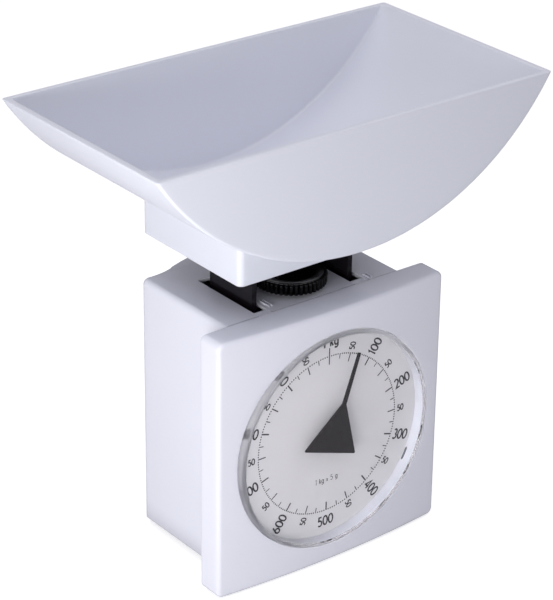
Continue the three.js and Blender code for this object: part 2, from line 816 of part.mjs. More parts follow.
function makeScrewZ(x, y, z, length, shank, head) {
  return join(rodZ(shank, z, z + length, x, y, 8), rodZ(head, z - 1.4, z, x, y, 12));
}

// ---------------------------------------------------------------- zero adjuster and spring

const hangerHalf = 6;
const hangerTop = hangerBottom + 8;

function makeKnob() {
  const outline = [];
  for (let tooth = 0; tooth < knobTeeth; tooth += 1) {
    for (const [share, radius] of [[0, 0], [0.3, 0], [0.5, 1], [0.8, 1]]) {
      const angle = (tooth + share) * 2 * Math.PI / knobTeeth;
      const reach = knobRadius - radius * knurlDepth;
      outline.push([reach * Math.cos(angle), reach * Math.sin(angle)]);
    }
  }
  const disc = raiseZ(polygon(outline), knobBottom, knobTop).translate(0, knobMiddle, 0);
  const boss = rodZ(6, housingTop + gap, knobBottom + 0.5, 0, knobMiddle, 24);
  const bore = rodZ(screwRadius + pinGap, housingTop, knobTop - 1.2, 0, knobMiddle, 18);
  return cut(join(disc, boss), bore);
}

function makeAdjusterScrew() {
  return rodZ(screwRadius, hangerBottom + 3, knobTop - 1.4, 0, knobMiddle, 18);
}

function makeAdjusterClip() {
  return cut(
    rodZ(4.6, underside - gap - 0.8, underside - gap, 0, knobMiddle, 20),
    rodZ(screwRadius + 0.05, underside - 3, underside + 1, 0, knobMiddle, 18),
  );
}

function makeSpringHanger() {
  const body = block(-hangerHalf, hangerHalf, knobMiddle - 5, knobMiddle + 5, hangerBottom, hangerTop);
  const lug = block(-4, 4, knobMiddle - 0.8, knobMiddle + 0.8, hangerBottom - hookEye - 3, hangerBottom + 1);
  const thread = rodZ(screwRadius + pinGap, hangerBottom + 1, hangerTop + 1, 0, knobMiddle, 18);
  return cut(join(body, lug), thread, rodY(1.4, 0, 30, 0, hangerBottom - hookEye, 16));
}

// a close coil with a hook at each end: the hooks' points are listed for the lower end, from the
// eye up to the coil, and mirrored for the upper one
function makeMainSpring() {
  const lowEye = bridgeTop + hookEye;
  const highEye = hangerBottom - hookEye;
  const hook = [
    [0, 2.3, 4.6],
    [0, 2.3, 2.2],
    [0, 1.5, 0.5],
    [0, 0, 0],
    [0, -1.5, 0.5],
    [0, -2.3, 2.2],
    [0, -1.7, 4.6],
    [0, -0.6, 6.2],
    [0.6, 0, 7.2],
  ];
  const coilLow = lowEye + 9;
  const coilHigh = highEye - 9;
  const points = hook.map(([x, y, z]) => new THREE.Vector3(x, knobMiddle + y, lowEye + z));
  const steps = springTurns * 8;
  for (let step = 0; step <= steps; step += 1) {
    const angle = step / 8 * 2 * Math.PI;
    const z = coilLow + (coilHigh - coilLow) * step / steps;
    points.push(new THREE.Vector3(
      springRadius * Math.cos(angle),
      knobMiddle + springRadius * Math.sin(angle),
      z,
    ));
  }
  for (const [x, y, z] of [...hook].reverse()) {
    points.push(new THREE.Vector3(x, knobMiddle - y, highEye - z));
  }
  const path = new THREE.CatmullRomCurve3(points);
  const section = new THREE.Shape().absarc(0, 0, springWire / 2, 0, 2 * Math.PI, false);
  return new THREE.ExtrudeGeometry(section, {
    steps: points.length,
    extrudePath: path,
    curveSegments: 3,
  });
}

// ---------------------------------------------------------------- guide levers

// built about its shaft at the origin, its side bars running forward, towards -Y
function makeGuideLever() {
  const studReach = leverLength + 0.3;
  const outline = new THREE.Shape();
  outline.absarc(-studReach, 0, 3.6, Math.PI / 2, Math.PI * 1.5, false);
  outline.absarc(0, 0, 3.2, -Math.PI / 2, Math.PI / 2, false);
  const slot = new THREE.Path();
  slot.absarc(-studReach - 0.3, 0, studRadius + 0.25, Math.PI / 2, Math.PI * 1.5, false);
  slot.absarc(-studReach + 0.3, 0, studRadius + 0.25, -Math.PI / 2, Math.PI / 2, false);
  outline.holes.push(slot);
  const outer = leverInner + leverBar;
  const bars = [raiseX(outline, leverInner, outer, 5), raiseX(outline, -outer, -leverInner, 5)];
  const tube = rodX(3.2, -leverInner - 0.5, leverInner + 0.5, 0, 0, 14);
  const bore = rodX(studRadius + pinGap, -outer - 1, outer + 1, 0, 0, 12);
  return cut(join(...bars, tube), bore);
}

function makeLeverShaft(height) {
  const reach = postInner + postThickness + 1;
  return rodX(studRadius, -reach, reach, leverShaft, height, 16);
}

// ---------------------------------------------------------------- assembly

piece('tray', makeTray(), whiteGloss);

piece('carriage_crosshead', makeCrosshead(), blackPaint);
piece('carriage_arm_left', makeArm(-1), blackPaint);
piece('carriage_arm_right', makeArm(1), blackPaint);
piece('carriage_lower_bridge', makeLowerBridge(), blackPaint);
for (const [side, word] of [[-1, 'left'], [1, 'right']]) {
  piece(`upper_stud_${word}`, makeStud(side, upperStudHeight), steel);
  piece(`lower_stud_${word}`, makeStud(side, lowerStudHeight), steel);
  rivetRows.forEach((y, row) => {
    const rivet = makeRivetZ(side * tabRivet, y, armTop - armThickness, crossheadTop);
    piece(`crosshead_rivet_${word}_${row + 1}`, rivet, steel);
  });
  piece(`bridge_rivet_${word}`, makeRivetZ(side * tabRivet, armMiddle, armBottom, bridgeTop), steel);
}

piece('rack_bracket', makeRackBracket(), steel);
bracketRivets.forEach((z, row) => {
  const rivet = makeRivetX(armInner - gap - 1.8, armOuter, bracketRivetDepth, z);
  piece(`bracket_rivet_${row + 1}`, rivet, steel);
});
piece('rack', makeRack(), brass);
piece('rack_pivot_pin', makeRackPin(), steel);
piece('rack_leaf_spring', makeRackSpring(), springSteel);

piece('pinion', makePinion(), brass);
piece('pinion_shaft', makeShaft(), steel);
piece('pointer', makePointer(), blackPlastic);
piece('front_bush', makeFrontBush(), brass);
piece('rear_bush', makeRearBush(), brass);
piece('bearing_bracket', makeBearingBracket(), steel);
[-bearingPost, bearingPost].forEach((x, i) => {
  piece(`bearing_screw_${i + 1}`, makeScrewY(x, bearingPlate + 1.7, dialHeight, 5.5, 1, 2.2), steel);
});

piece('bezel', makeBezel(), whiteGloss);
piece('lens', makeLens(), clearPlastic);
piece('dial_plate', makeDialPlate(), dialPaper);
piece('mechanism_frame', makeMechanismFrame(), whiteSatin);
piece('rear_housing', makeRearHousing(), whiteGloss);
piece('base_plate', makeBasePlate(), whiteSatin);
let screw = 0;
for (const sx of [-1, 1]) {
  for (const sz of [-1, 1]) {
    screw += 1;
    const x = sx * framePost;
    const z = dialHeight + sz * framePost;
    piece(`frame_screw_${screw}`, makeScrewY(x, framePlateBack + 0.1, z, 5, 1.1, 2.2), steel);
    const bossZ = bezelMiddle + sz * cornerBoss.z;
    const bezelScrew = makeScrewY(sx * cornerBoss.x, flangeBack + 0.1, bossZ, 8.5, 1.4, 2.8);
    piece(`bezel_screw_${screw}`, bezelScrew, steel);
  }
}
baseScrews.forEach(({ x, y }, i) => {
  piece(`base_screw_${i + 1}`, makeScrewZ(x, y, housingBottom - 0.1, 8, 1.2, 2.2), steel);
});
for (const [x, side] of [[-footSpan / 2, 'left'], [footSpan / 2, 'right']]) {
  piece(`foot_front_${side}`, makeFoot(x, frontFoot), rubber);
  piece(`foot_rear_${side}`, makeFoot(x, rearFoot), rubber);
}
piece('overload_stop', makeOverloadStop(), rubber);

piece('zero_knob', makeKnob(), blackPlastic);
piece('adjuster_screw', makeAdjusterScrew(), steel);
piece('adjuster_clip', makeAdjusterClip(), springSteel);
piece('spring_hanger', makeSpringHanger(), whiteSatin);
piece('main_spring', makeMainSpring(), springSteel);

const levers = [['upper', upperStudHeight], ['lower', lowerStudHeight]];
for (const [word, height] of levers) {
  const lever = piece(`${word}_guide_lever`, makeGuideLever(), blackPaint);
  lever.position.set(0, leverShaft, height - leverLift);
  lever.rotation.x = -leverTilt;
  piece(`${word}_lever_shaft`, makeLeverShaft(height - leverLift), steel);
}

const scale = new THREE.Group();
scale.position.y = -trayMiddle;
scale.add(...nodes);

export default scale;
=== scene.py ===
import math

import bmesh
import bpy
import numpy as np
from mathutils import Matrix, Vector
from mathutils.geometry import tessellate_polygon


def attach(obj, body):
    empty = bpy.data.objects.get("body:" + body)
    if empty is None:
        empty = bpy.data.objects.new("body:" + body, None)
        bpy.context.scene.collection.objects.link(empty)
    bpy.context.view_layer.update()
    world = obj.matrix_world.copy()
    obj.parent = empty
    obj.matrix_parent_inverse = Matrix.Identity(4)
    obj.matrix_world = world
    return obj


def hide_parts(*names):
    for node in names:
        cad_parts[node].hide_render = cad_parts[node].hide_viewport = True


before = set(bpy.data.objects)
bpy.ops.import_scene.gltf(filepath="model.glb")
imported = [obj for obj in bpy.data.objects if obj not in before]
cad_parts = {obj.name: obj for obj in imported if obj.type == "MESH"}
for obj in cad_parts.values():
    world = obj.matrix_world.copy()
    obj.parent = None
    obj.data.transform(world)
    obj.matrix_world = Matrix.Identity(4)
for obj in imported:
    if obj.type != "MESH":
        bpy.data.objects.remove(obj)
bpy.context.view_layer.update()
print("frame loaded")

# The pieces are laid out in millimetres, with y = 0 at the back of the bezel, and are put into the
# frame's metres by this shift. Lights are placed in metres.
trayMiddle = 21.2


def toFrame(points):
    # millimetres to metres, moved back so that the tray's middle is at y = 0
    return (np.asarray(points, dtype=float) - [0.0, trayMiddle, 0.0]) * 0.001


# the camera, the light and the room

camera = {
    "azimuth": -38.14,
    "elevation": 25.921,
    "roll": 0.706,
    "distance": 858.68,
    "target": (-17.668, 0.0, 107.145),
    "focalWidths": 4.4255,  # focal length in frame widths
    "sensor": 36.0,
    "near": 0.05,
    "far": 50.0,
}


def makeCamera(s):
    # looks along the line from its place to the target, and is rolled about that line
    a = math.radians(s["azimuth"])
    e = math.radians(s["elevation"])
    r = math.radians(s["roll"])
    back = Vector((math.sin(a) * math.cos(e), -math.cos(a) * math.cos(e), math.sin(e)))
    right = Vector((math.cos(a), math.sin(a), 0.0))
    up = back.cross(right)
    turnedRight = right * math.cos(r) + up * math.sin(r)
    turnedUp = up * math.cos(r) - right * math.sin(r)
    data = bpy.data.cameras.new("camera")
    data.sensor_fit = "HORIZONTAL"
    data.sensor_width = s["sensor"]
    data.lens = s["sensor"] * s["focalWidths"]
    data.clip_start = s["near"]
    data.clip_end = s["far"]
    holder = bpy.data.objects.new("camera", data)
    place = Vector(toFrame([s["target"]])[0]) + back * s["distance"] * 0.001
    matrix = holder.matrix_world.copy()
    for row in range(3):
        matrix[row][0] = turnedRight[row]
        matrix[row][1] = turnedUp[row]
        matrix[row][2] = back[row]
        matrix[row][3] = place[row]
    holder.matrix_world = matrix
    bpy.context.scene.collection.objects.link(holder)
    bpy.context.scene.camera = holder


lightAim = (0.0, 0.0, 0.09)
lights = {
    "key": {"at": (-0.33, -0.18, 0.11), "size": (0.26, 0.22), "power": 0.93, "color": (1.0, 0.998, 1.0)},
    "top": {"at": (-0.10, 0.05, 1.10), "size": (1.2, 1.0), "power": 3.9, "color": (0.96, 0.95, 1.0)},
    "front": {"at": (0.0, -0.60, 0.98), "size": (0.7, 0.5), "power": 1.45, "color": (0.97, 0.96, 1.0)},
}


def makeLight(name, s):
    data = bpy.data.lights.new(name + "Light", "AREA")
    data.shape = "RECTANGLE"
    data.size, data.size_y = s["size"]
    data.energy = s["power"]
    data.color = s["color"]
    lamp = bpy.data.objects.new(name + "Light", data)
    lamp.location = s["at"]
    lamp.visible_camera = False
    aim = Vector(lightAim) - lamp.location
    lamp.rotation_euler = aim.to_track_quat("-Z", "Y").to_euler()
    bpy.context.scene.collection.objects.link(lamp)


world = {"color": (0.945, 0.945, 1.0), "strength": 0.37, "seen": 1.0}


def makeWorld(s):
    # an even pale room, which the camera itself sees as white
    bpy.context.scene.world = bpy.context.scene.world or bpy.data.worlds.new("studio")
    sky = bpy.context.scene.world
    sky.use_nodes = True
    tree = sky.node_tree
    room = tree.nodes["Background"]
    room.inputs["Color"].default_value = (*s["color"], 1.0)
    room.inputs["Strength"].default_value = s["strength"]
    paper = addNode(tree, "ShaderNodeBackground", Color=(1.0, 1.0, 1.0, 1.0), Strength=s["seen"])
    path = addNode(tree, "ShaderNodeLightPath")
    mix = addNode(tree, "ShaderNodeMixShader", [(0, path.outputs["Is Camera Ray"]),
                  (1, room.outputs[0]), (2, paper.outputs[0])])
    tree.links.new(mix.outputs[0], tree.nodes["World Output"].inputs["Surface"])


# materials

def newGroup(name, inputs, outputs):
    # an empty node group with its sockets: (name, kind, default)
    group = bpy.data.node_groups.new(name, "ShaderNodeTree")
    for label, kind, value in inputs:
        socket = group.interface.new_socket(name=label, in_out="INPUT", socket_type=kind)
        socket.default_value = value
    for label, kind in outputs:
        group.interface.new_socket(name=label, in_out="OUTPUT", socket_type=kind)
    group.nodes.new("NodeGroupInput").name = "in"
    group.nodes.new("NodeGroupOutput").name = "out"
    return group


def addNode(tree, kind, links=(), **values):
    # a node with its properties and socket values set, and links as (socket, from socket)
    node = tree.nodes.new(kind)
    sockets = {}
    for key, value in values.items():
        if hasattr(node, key):
            setattr(node, key, value)
        else:
            sockets[key] = value
    for key, value in sockets.items():
        node.inputs[key.replace("_", " ")].default_value = value
    for key, source in links:
        tree.links.new(source, node.inputs[key])
    return node


surfaceOutputs = [("Color", "NodeSocketColor"), ("Roughness", "NodeSocketFloat"),
                  ("Normal", "NodeSocketVector")]


def finishGroup(group, color, roughness, normal):
    for label, node in (("Color", color), ("Roughness", roughness), ("Normal", normal)):
        group.links.new(node.outputs[0], group.nodes["out"].inputs[label])
    return group


def buildMoulding():
    # moulded plastic: a slow drift of tone and gloss, and the faint ripple of a polished mould
    group = newGroup(
        "mouldedSurface",
        [("Color", "NodeSocketColor", (0.8, 0.8, 0.8, 1.0)), ("Drift", "NodeSocketFloat", 0.03),
         ("Roughness", "NodeSocketFloat", 0.25), ("Ripple", "NodeSocketFloat", 0.1),
         ("Grain", "NodeSocketFloat", 0.1)],
        surfaceOutputs,
    )
    inside = group.nodes["in"].outputs
    place = addNode(group, "ShaderNodeTexCoord").outputs["Object"]
    slow = addNode(group, "ShaderNodeTexNoise", [("Vector", place)], Scale=22.0, Detail=1.0)
    fine = addNode(group, "ShaderNodeTexNoise", [("Vector", place)], Scale=40.0, Detail=2.0)
    specks = addNode(group, "ShaderNodeTexNoise", [("Vector", place)], Scale=2600.0, Detail=2.0)
    shade = addNode(group, "ShaderNodeMapRange", [("Value", slow.outputs["Fac"])],
                    From_Min=0.3, From_Max=0.7, To_Min=-0.5, To_Max=0.5)
    amount = addNode(group, "ShaderNodeMath",
                     [(0, shade.outputs[0]), (1, inside["Drift"])], operation="MULTIPLY")
    value = addNode(group, "ShaderNodeMath", [(0, amount.outputs[0])], operation="ADD")
    value.inputs[1].default_value = 1.0
    toned = addNode(group, "ShaderNodeHueSaturation",
                    [("Value", value.outputs[0]), ("Color", inside["Color"])])
    smear = addNode(group, "ShaderNodeMapRange", [("Value", fine.outputs["Fac"])],
                    From_Min=0.3, From_Max=0.7, To_Min=0.95, To_Max=1.08)
    gloss = addNode(group, "ShaderNodeMath",
                    [(0, inside["Roughness"]), (1, smear.outputs[0])], operation="MULTIPLY")
    ripple = addNode(group, "ShaderNodeBump", [("Strength", inside["Ripple"]),
                     ("Height", slow.outputs["Fac"])], Distance=0.0006)
    grain = addNode(group, "ShaderNodeBump", [("Strength", inside["Grain"]),
                    ("Height", specks.outputs["Fac"]), ("Normal", ripple.outputs[0])], Distance=0.00004)
    return finishGroup(group, toned, gloss, grain)


def buildMetal():
    # metal: fine lines drawn along one axis, worn a little brighter and smoother in patches
    group = newGroup(
        "drawnMetal",
        [("Color", "NodeSocketColor", (0.5, 0.5, 0.5, 1.0)),
         ("Stretch", "NodeSocketVector", (1.0, 1.0, 1.0)),
         ("Roughness", "NodeSocketFloat", 0.3), ("Lines", "NodeSocketFloat", 0.3)],
        surfaceOutputs,
    )
    inside = group.nodes["in"].outputs
    place = addNode(group, "ShaderNodeTexCoord").outputs["Object"]
    pulled = addNode(group, "ShaderNodeVectorMath",
                     [(0, place), (1, inside["Stretch"])], operation="MULTIPLY")
    lines = addNode(group, "ShaderNodeTexNoise", [("Vector", pulled.outputs[0])], Scale=900.0, Detail=3.0)
    patches = addNode(group, "ShaderNodeTexNoise", [("Vector", place)], Scale=150.0, Detail=4.0)
    value = addNode(group, "ShaderNodeMapRange", [("Value", patches.outputs["Fac"])],
                    From_Min=0.3, From_Max=0.7, To_Min=0.82, To_Max=1.14)
    toned = addNode(group, "ShaderNodeHueSaturation",
                    [("Value", value.outputs[0]), ("Color", inside["Color"])])
    spread = addNode(group, "ShaderNodeMapRange", [("Value", lines.outputs["Fac"])],
                     From_Min=0.3, From_Max=0.7, To_Min=0.8, To_Max=1.3)
    gloss = addNode(group, "ShaderNodeMath",
                    [(0, inside["Roughness"]), (1, spread.outputs[0])], operation="MULTIPLY")
    bump = addNode(group, "ShaderNodeBump", [("Strength", inside["Lines"]),
                   ("Height", lines.outputs["Fac"])], Distance=0.00005)
    return finishGroup(group, toned, gloss, bump)


mouldedSurface = buildMoulding()
drawnMetal = buildMetal()


def startMaterial(name):
    material = bpy.data.materials.new(name)
    material.use_nodes = True
    tree = material.node_tree
    return material, tree, tree.nodes["Principled BSDF"]


def joinGroup(tree, shader, group, values):
    node = tree.nodes.new("ShaderNodeGroup")
    node.node_tree = group
    for key, value in values.items():
        node.inputs[key].default_value = value
    for source, target in (("Color", "Base Color"), ("Roughness", "Roughness"), ("Normal", "Normal")):
        tree.links.new(node.outputs[source], shader.inputs[target])


# colour, roughness, drift of tone, mould ripple, grain, index of refraction
plastics = {
    "glossWhite": ((0.80, 0.805, 0.88), 0.11, 0.015, 0.03, 0.02, 1.58),
    "trayWhite": ((0.798, 0.815, 0.885), 0.32, 0.015, 0.02, 0.03, 1.50),
    "satinWhite": ((0.68, 0.67, 0.70), 0.42, 0.04, 0.1, 0.3, 1.49),
    "blackMoulding": ((0.0015, 0.0015, 0.002), 0.13, 0.3, 0.1, 0.2, 1.30),
    "pointerBlack": ((0.009, 0.006, 0.008), 0.42, 0.4, 0.05, 0.2, 1.30),
    "blackPaint": ((0.007, 0.005, 0.007), 0.20, 0.3, 0.25, 0.2, 1.38),
    "gateGrey": ((0.20, 0.20, 0.22), 0.35, 0.2, 0.1, 0.2, 1.40),
    "footRubber": ((0.030, 0.030, 0.032), 0.75, 0.3, 0.2, 0.8, 1.45),
    "printInk": ((0.012, 0.012, 0.016), 0.55, 0.25, 0.0, 0.2, 1.45),
    # painted shade: the frame is white plastic, and this dark reddish brown stands for the shade it lies
    # in below the housing's top
    "frameWithPaintedShade": ((0.050, 0.022, 0.024), 0.35, 0.2, 0.1, 0.3, 1.49),
    "dialWhite": ((0.74, 0.73, 0.755), 0.55, 0.03, 0.05, 0.25, 1.45),
}
# below this height the moulding carries the painted shade colour instead of white
paintedShadeBelow = {"frameWithPaintedShade": 0.0985}  # height in metres above which a moulding is white


def makePlastic(name, color, roughness, drift, ripple, grain, ior):
    material, tree, shader = startMaterial(name)
    joinGroup(tree, shader, mouldedSurface, {
        "Color": (*color, 1.0), "Drift": drift, "Roughness": roughness, "Ripple": ripple, "Grain": grain,
    })
    shader.inputs["IOR"].default_value = ior
    if name in paintedShadeBelow:
        # white above the height, and below it a dark painted shade colour for the white frame lying in
        # shade inside the slots
        place = addNode(tree, "ShaderNodeTexCoord")
        height = addNode(tree, "ShaderNodeSeparateXYZ", [("Vector", place.outputs["Object"])])
        above = addNode(tree, "ShaderNodeMath", [(0, height.outputs["Z"])], operation="GREATER_THAN")
        above.inputs[1].default_value = paintedShadeBelow[name]
        mix = addNode(tree, "ShaderNodeMix", data_type="RGBA")
        tree.links.new(above.outputs[0], mix.inputs["Factor"])
        tree.links.new(shader.inputs["Base Color"].links[0].from_socket, mix.inputs[6])
        mix.inputs[7].default_value = (*plastics["glossWhite"][0], 1.0)
        tree.links.new(mix.outputs[2], shader.inputs["Base Color"])
    return material


# colour, roughness, stretch of the drawn lines along each axis, depth of the lines
metals = {
    "platedSteel": ((0.50, 0.51, 0.53), 0.34, (1.0, 0.2, 1.0), 0.25),
    "springSteel": ((0.36, 0.36, 0.39), 0.28, (1.0, 1.0, 0.3), 0.2),
    "turnedBrass": ((0.60, 0.42, 0.16), 0.26, (0.4, 1.0, 0.4), 0.25),
}


def makeMetal(name, color, roughness, stretch, lines):
    material, tree, shader = startMaterial(name)
    joinGroup(tree, shader, drawnMetal, {
        "Color": (*color, 1.0), "Stretch": stretch, "Roughness": roughness, "Lines": lines,
    })
    shader.inputs["Metallic"].default_value = 1.0
    return material


# colour, roughness, index of refraction, coat
clears = {
    "clearLens": ((1.0, 1.0, 1.0), 0.0, 1.30, 0.1),
    "lensWall": ((0.975, 0.978, 0.995), 0.28, 1.22, 0.25),
}


def makeClear(name, color, roughness, ior, coat):
    # clear moulding: lets light straight through onto the dial, and bends what is seen through it
    material, tree, shader = startMaterial(name)
    shader.inputs["Base Color"].default_value = (*color, 1.0)
    shader.inputs["Roughness"].default_value = roughness
    shader.inputs["IOR"].default_value = ior
    shader.inputs["Transmission Weight"].default_value = 1.0
    shader.inputs["Coat Weight"].default_value = coat
    shader.inputs["Coat Roughness"].default_value = 0.02
    through = addNode(tree, "ShaderNodeBsdfTransparent", Color=(1.0, 1.0, 1.0, 1.0))
    path = addNode(tree, "ShaderNodeLightPath")
    mix = addNode(tree, "ShaderNodeMixShader", [(0, path.outputs["Is Shadow Ray"]),
                  (1, shader.outputs[0]), (2, through.outputs[0])])
    tree.links.new(mix.outputs[0], tree.nodes["Material Output"].inputs["Surface"])
    return material


materials = {name: makePlastic(name, *row) for name, row in plastics.items()}
materials.update({name: makeMetal(name, *row) for name, row in metals.items()})
materials.update({name: makeClear(name, *row) for name, row in clears.items()})
print("materials made")


# surface helpers

def quarterTurn(count):
    return np.linspace(0.0, math.pi / 2, count)


def wholeTurn(count):
    return np.linspace(0.0, 2 * math.pi, count, endpoint=False)


def gridFaces(rows, columns, closeRows=False, closeColumns=False):
    # quads between neighbouring points of a grid, joined at its ends where it closes
    r, c = np.meshgrid(np.arange(rows - (not closeRows)), np.arange(columns - (not closeColumns)),
                       indexing="ij")
    here = r * columns + c
    beside = r * columns + (c + 1) % columns
    above = ((r + 1) % rows) * columns + c
    across = ((r + 1) % rows) * columns + (c + 1) % columns
    return np.stack([here, beside, across, above], axis=-1).reshape(-1, 4)


def putMesh(name, points, faces, material, body, stands=(), slot=None, smooth=True, weld=1e-7):
    # points in millimetres and faces into a piece that rides on a body
    mesh = bpy.data.meshes.new(name)
    mesh.from_pydata(toFrame(points).tolist(), [], [list(map(int, f)) for f in faces])
    work = bmesh.new()
    work.from_mesh(mesh)
    bmesh.ops.remove_doubles(work, verts=work.verts, dist=weld)
    bmesh.ops.dissolve_degenerate(work, edges=work.edges, dist=weld)
    bmesh.ops.recalc_face_normals(work, faces=work.faces)
    work.to_mesh(mesh)
    work.free()
    mesh.materials.append(materials[material])
    if smooth:
        mesh.shade_smooth()
    piece = bpy.data.objects.new(name, mesh)
    bpy.context.scene.collection.objects.link(piece)
    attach(piece, body)
    if stands:
        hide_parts(*stands)
    return piece


def bevel(piece, width, angle=35.0):
    # a rounded edge wherever faces meet at more than the angle
    edge = piece.modifiers.new("edges", "BEVEL")
    edge.width = width * 0.001
    edge.segments = 2
    edge.limit_method = "ANGLE"
    edge.angle_limit = math.radians(angle)
    edge.harden_normals = True


def crease(piece, angle):
    # sharp shading wherever faces meet at more than the angle
    split = piece.modifiers.new("creases", "EDGE_SPLIT")
    split.split_angle = math.radians(angle)


def roundedOutline(halfWidth, low, high, radius, perSide, perCorner):
    # points around a rectangle with rounded corners, from its lower right corner, anticlockwise
    arc = quarterTurn(perCorner + 1)
    parts = []
    centres = np.array([(halfWidth - radius, low + radius), (halfWidth - radius, high - radius),
                        (radius - halfWidth, high - radius), (radius - halfWidth, low + radius)])
    for corner, (a, b) in enumerate(centres):
        turn = arc + (corner - 1) * math.pi / 2
        bend = np.stack([a + radius * np.cos(turn), b + radius * np.sin(turn)], -1)
        following = centres[(corner + 1) % 4]
        start = corner * math.pi / 2
        begin = bend[-1]
        end = following + radius * np.array([math.cos(start), math.sin(start)])
        share = np.linspace(0.0, 1.0, perSide + 1)[1:-1, None]
        parts += [bend, begin + (end - begin) * share]
    return np.concatenate(parts)


def lathe(profile, segments, order, centre):
    # a profile of (radius, height) turned about an axis: (r cos a, r sin a, height), with the
    # coordinates put in an order and moved to a centre
    profile = np.asarray(profile, dtype=float)
    a = wholeTurn(segments)
    x = profile[:, 0, None] * np.cos(a)
    y = profile[:, 0, None] * np.sin(a)
    z = np.broadcast_to(profile[:, 1, None], x.shape)
    points = np.stack([x, y, z], -1).reshape(-1, 3)[:, order] + centre
    return points, gridFaces(len(profile), segments, closeColumns=True)


def latheY(profile, segments):
    # turned about the dial's axis
    return lathe(profile, segments, [0, 2, 1], [0.0, 0.0, dial["height"]])


def roundedProfile(corners, radius, steps=5):
    # a polyline of (radius, height) with every inner corner replaced by a short arc
    corners = np.asarray(corners, dtype=float)
    out = [corners[:1]]
    t = np.linspace(0.0, 1.0, steps + 1)[:, None]
    for before, here, after in zip(corners[:-2], corners[1:-1], corners[2:]):
        reach = min(radius, np.linalg.norm(here - before) * 0.49, np.linalg.norm(after - here) * 0.49)
        p = here + (before - here) / np.linalg.norm(before - here) * reach
        q = here + (after - here) / np.linalg.norm(after - here) * reach
        out.append((1 - t) ** 2 * p + 2 * t * (1 - t) * here + t ** 2 * q)
    out.append(corners[-1:])
    return np.concatenate(out)


def standUp(flat, y):
    # flat (x, z) points put in space at a depth y
    return np.stack([flat[:, 0], np.broadcast_to(y, len(flat)), flat[:, 1]], -1)


def turnFlat(flat, angle):
    # flat points turned anticlockwise about the origin: (x cos a - y sin a, x sin a + y cos a)
    cosine, sine = math.cos(angle), math.sin(angle)
    x, y = flat[:, 0], flat[:, 1]
    return np.stack([x * cosine - y * sine, x * sine + y * cosine], -1)


# the tray

tray = {
    "length": 171.4,
    "width": 92.6,
    "depth": 47.5,
    "rim": 177.4,
    "wall": 2.2,
    "edge": 1.1,  # outside radius between the flat ends and the round floor
    "fillet": 1.2,  # inside radius there
    "rimRise": 0.35,  # how far the rim is rounded up
    "alongArc": 150,
}
skirt = {
    "halfWidth": 34.9,
    "front": -1.35,
    "back": 57.15,
    "bottom": 117.0,
    "wall": 1.8,
    "corner": 2.4,
    "fillet": 0.9,
    "lip": 0.5,
    "innerLap": 0.8,  # how far the inner wall runs up into the trough's floor
    "outerLap": 0.4,
}
trayRibs = {
    "apart": 21.8,  # each from the tray's middle
    "halfWidth": 0.9,
    "front": 8.5,
    "back": 31.4,
    "corner": 0.4,
    "foot": 122.3,
    "soft": 0.3,
    "waist": 125.0,
    "lap": 0.8,
}
trayPegs = {
    "places": {"front": 12.0, "rear": 27.9},
    "radius": 2.4,
    "bottom": 118.4,
    "top": 130.6,
    "soft": 0.6,
}
# the round floor passes through the foot of the rim's rounding at both ends
troughDrop = tray["depth"] - tray["rimRise"]
troughRadius = ((tray["length"] / 2) ** 2 + troughDrop ** 2) / (2 * troughDrop)
troughAxis = tray["rim"] - tray["depth"] + troughRadius


def troughSkin(outer, halfWidth, bend, top, s):
    # distance from the trough's axis and place across it, from the middle of one end's rim, down
    # that end, round a bend, over the floor and up the other end; each point is swept along an arc
    # about the axis that stops at the rim
    drop = troughAxis - top
    wall = drop + (outer - bend - drop) * np.linspace(0.0, 1.0, 24) ** 0.8
    turn = quarterTurn(9)[1:]
    floor = np.linspace(bend - halfWidth, 0.0, 14)[1:]
    radii = np.concatenate([wall, outer - bend + bend * np.sin(turn), np.full(13, outer)])
    across = np.concatenate([np.full(24, -halfWidth), -halfWidth + bend * (1 - np.cos(turn)), floor])
    radii = np.concatenate([radii, radii[-2::-1]])
    across = np.concatenate([across, -across[-2::-1]])
    reach = np.arccos(np.clip(drop / radii, -1.0, 1.0))
    angle = reach[:, None] * s[None, :]
    x = radii[:, None] * np.sin(angle)
    z = troughAxis - radii[:, None] * np.cos(angle)
    y = np.broadcast_to(across[:, None] + trayMiddle, x.shape)
    return np.stack([x, y, z], -1)


def makeTray(s):
    # outer and inner skins on one grid, joined round the rim by a low rounded strip
    along = np.linspace(-1.0, 1.0, s["alongArc"])
    top = s["rim"] - s["rimRise"]
    outside = troughSkin(troughRadius, s["width"] / 2, s["edge"], top, along)
    inside = troughSkin(troughRadius - s["wall"], s["width"] / 2 - s["wall"], s["fillet"], top, along)
    rows, columns = outside.shape[:2]
    points = [outside.reshape(-1, 3), inside.reshape(-1, 3)]
    faces = [gridFaces(rows, columns)[:, ::-1], gridFaces(rows, columns) + rows * columns]
    start = 2 * rows * columns
    turn = np.linspace(0.0, math.pi, 9)
    for end in (0, -1):
        a = outside[:, end]
        b = inside[:, end]
        share = (0.5 - 0.5 * np.cos(turn))[:, None, None]
        strip = a[None] + (b - a)[None] * share
        strip[..., 2] += s["rimRise"] * np.sin(turn)[:, None] ** 0.6
        points.append(strip.reshape(-1, 3))
        faces.append(gridFaces(len(turn), rows) + start)
        start += len(turn) * rows
    putMesh("tray_trough", np.concatenate(points), np.concatenate(faces), "trayWhite", "tray",
            ["tray"], "white_gloss", weld=2e-6)


def ringSweep(outline, offsets, heights):
    # an outline of (x, y) repeated at each offset along its outward normals and at each height
    ahead = np.roll(outline, -1, axis=0) - np.roll(outline, 1, axis=0)
    normal = np.stack([ahead[:, 1], -ahead[:, 0]], -1)
    normal /= np.linalg.norm(normal, axis=1)[:, None]
    flat = outline[None] + normal[None] * np.asarray(offsets)[:, None, None]
    heights = np.broadcast_to(heights, flat.shape[:2])
    return np.concatenate([flat, heights[..., None]], -1)


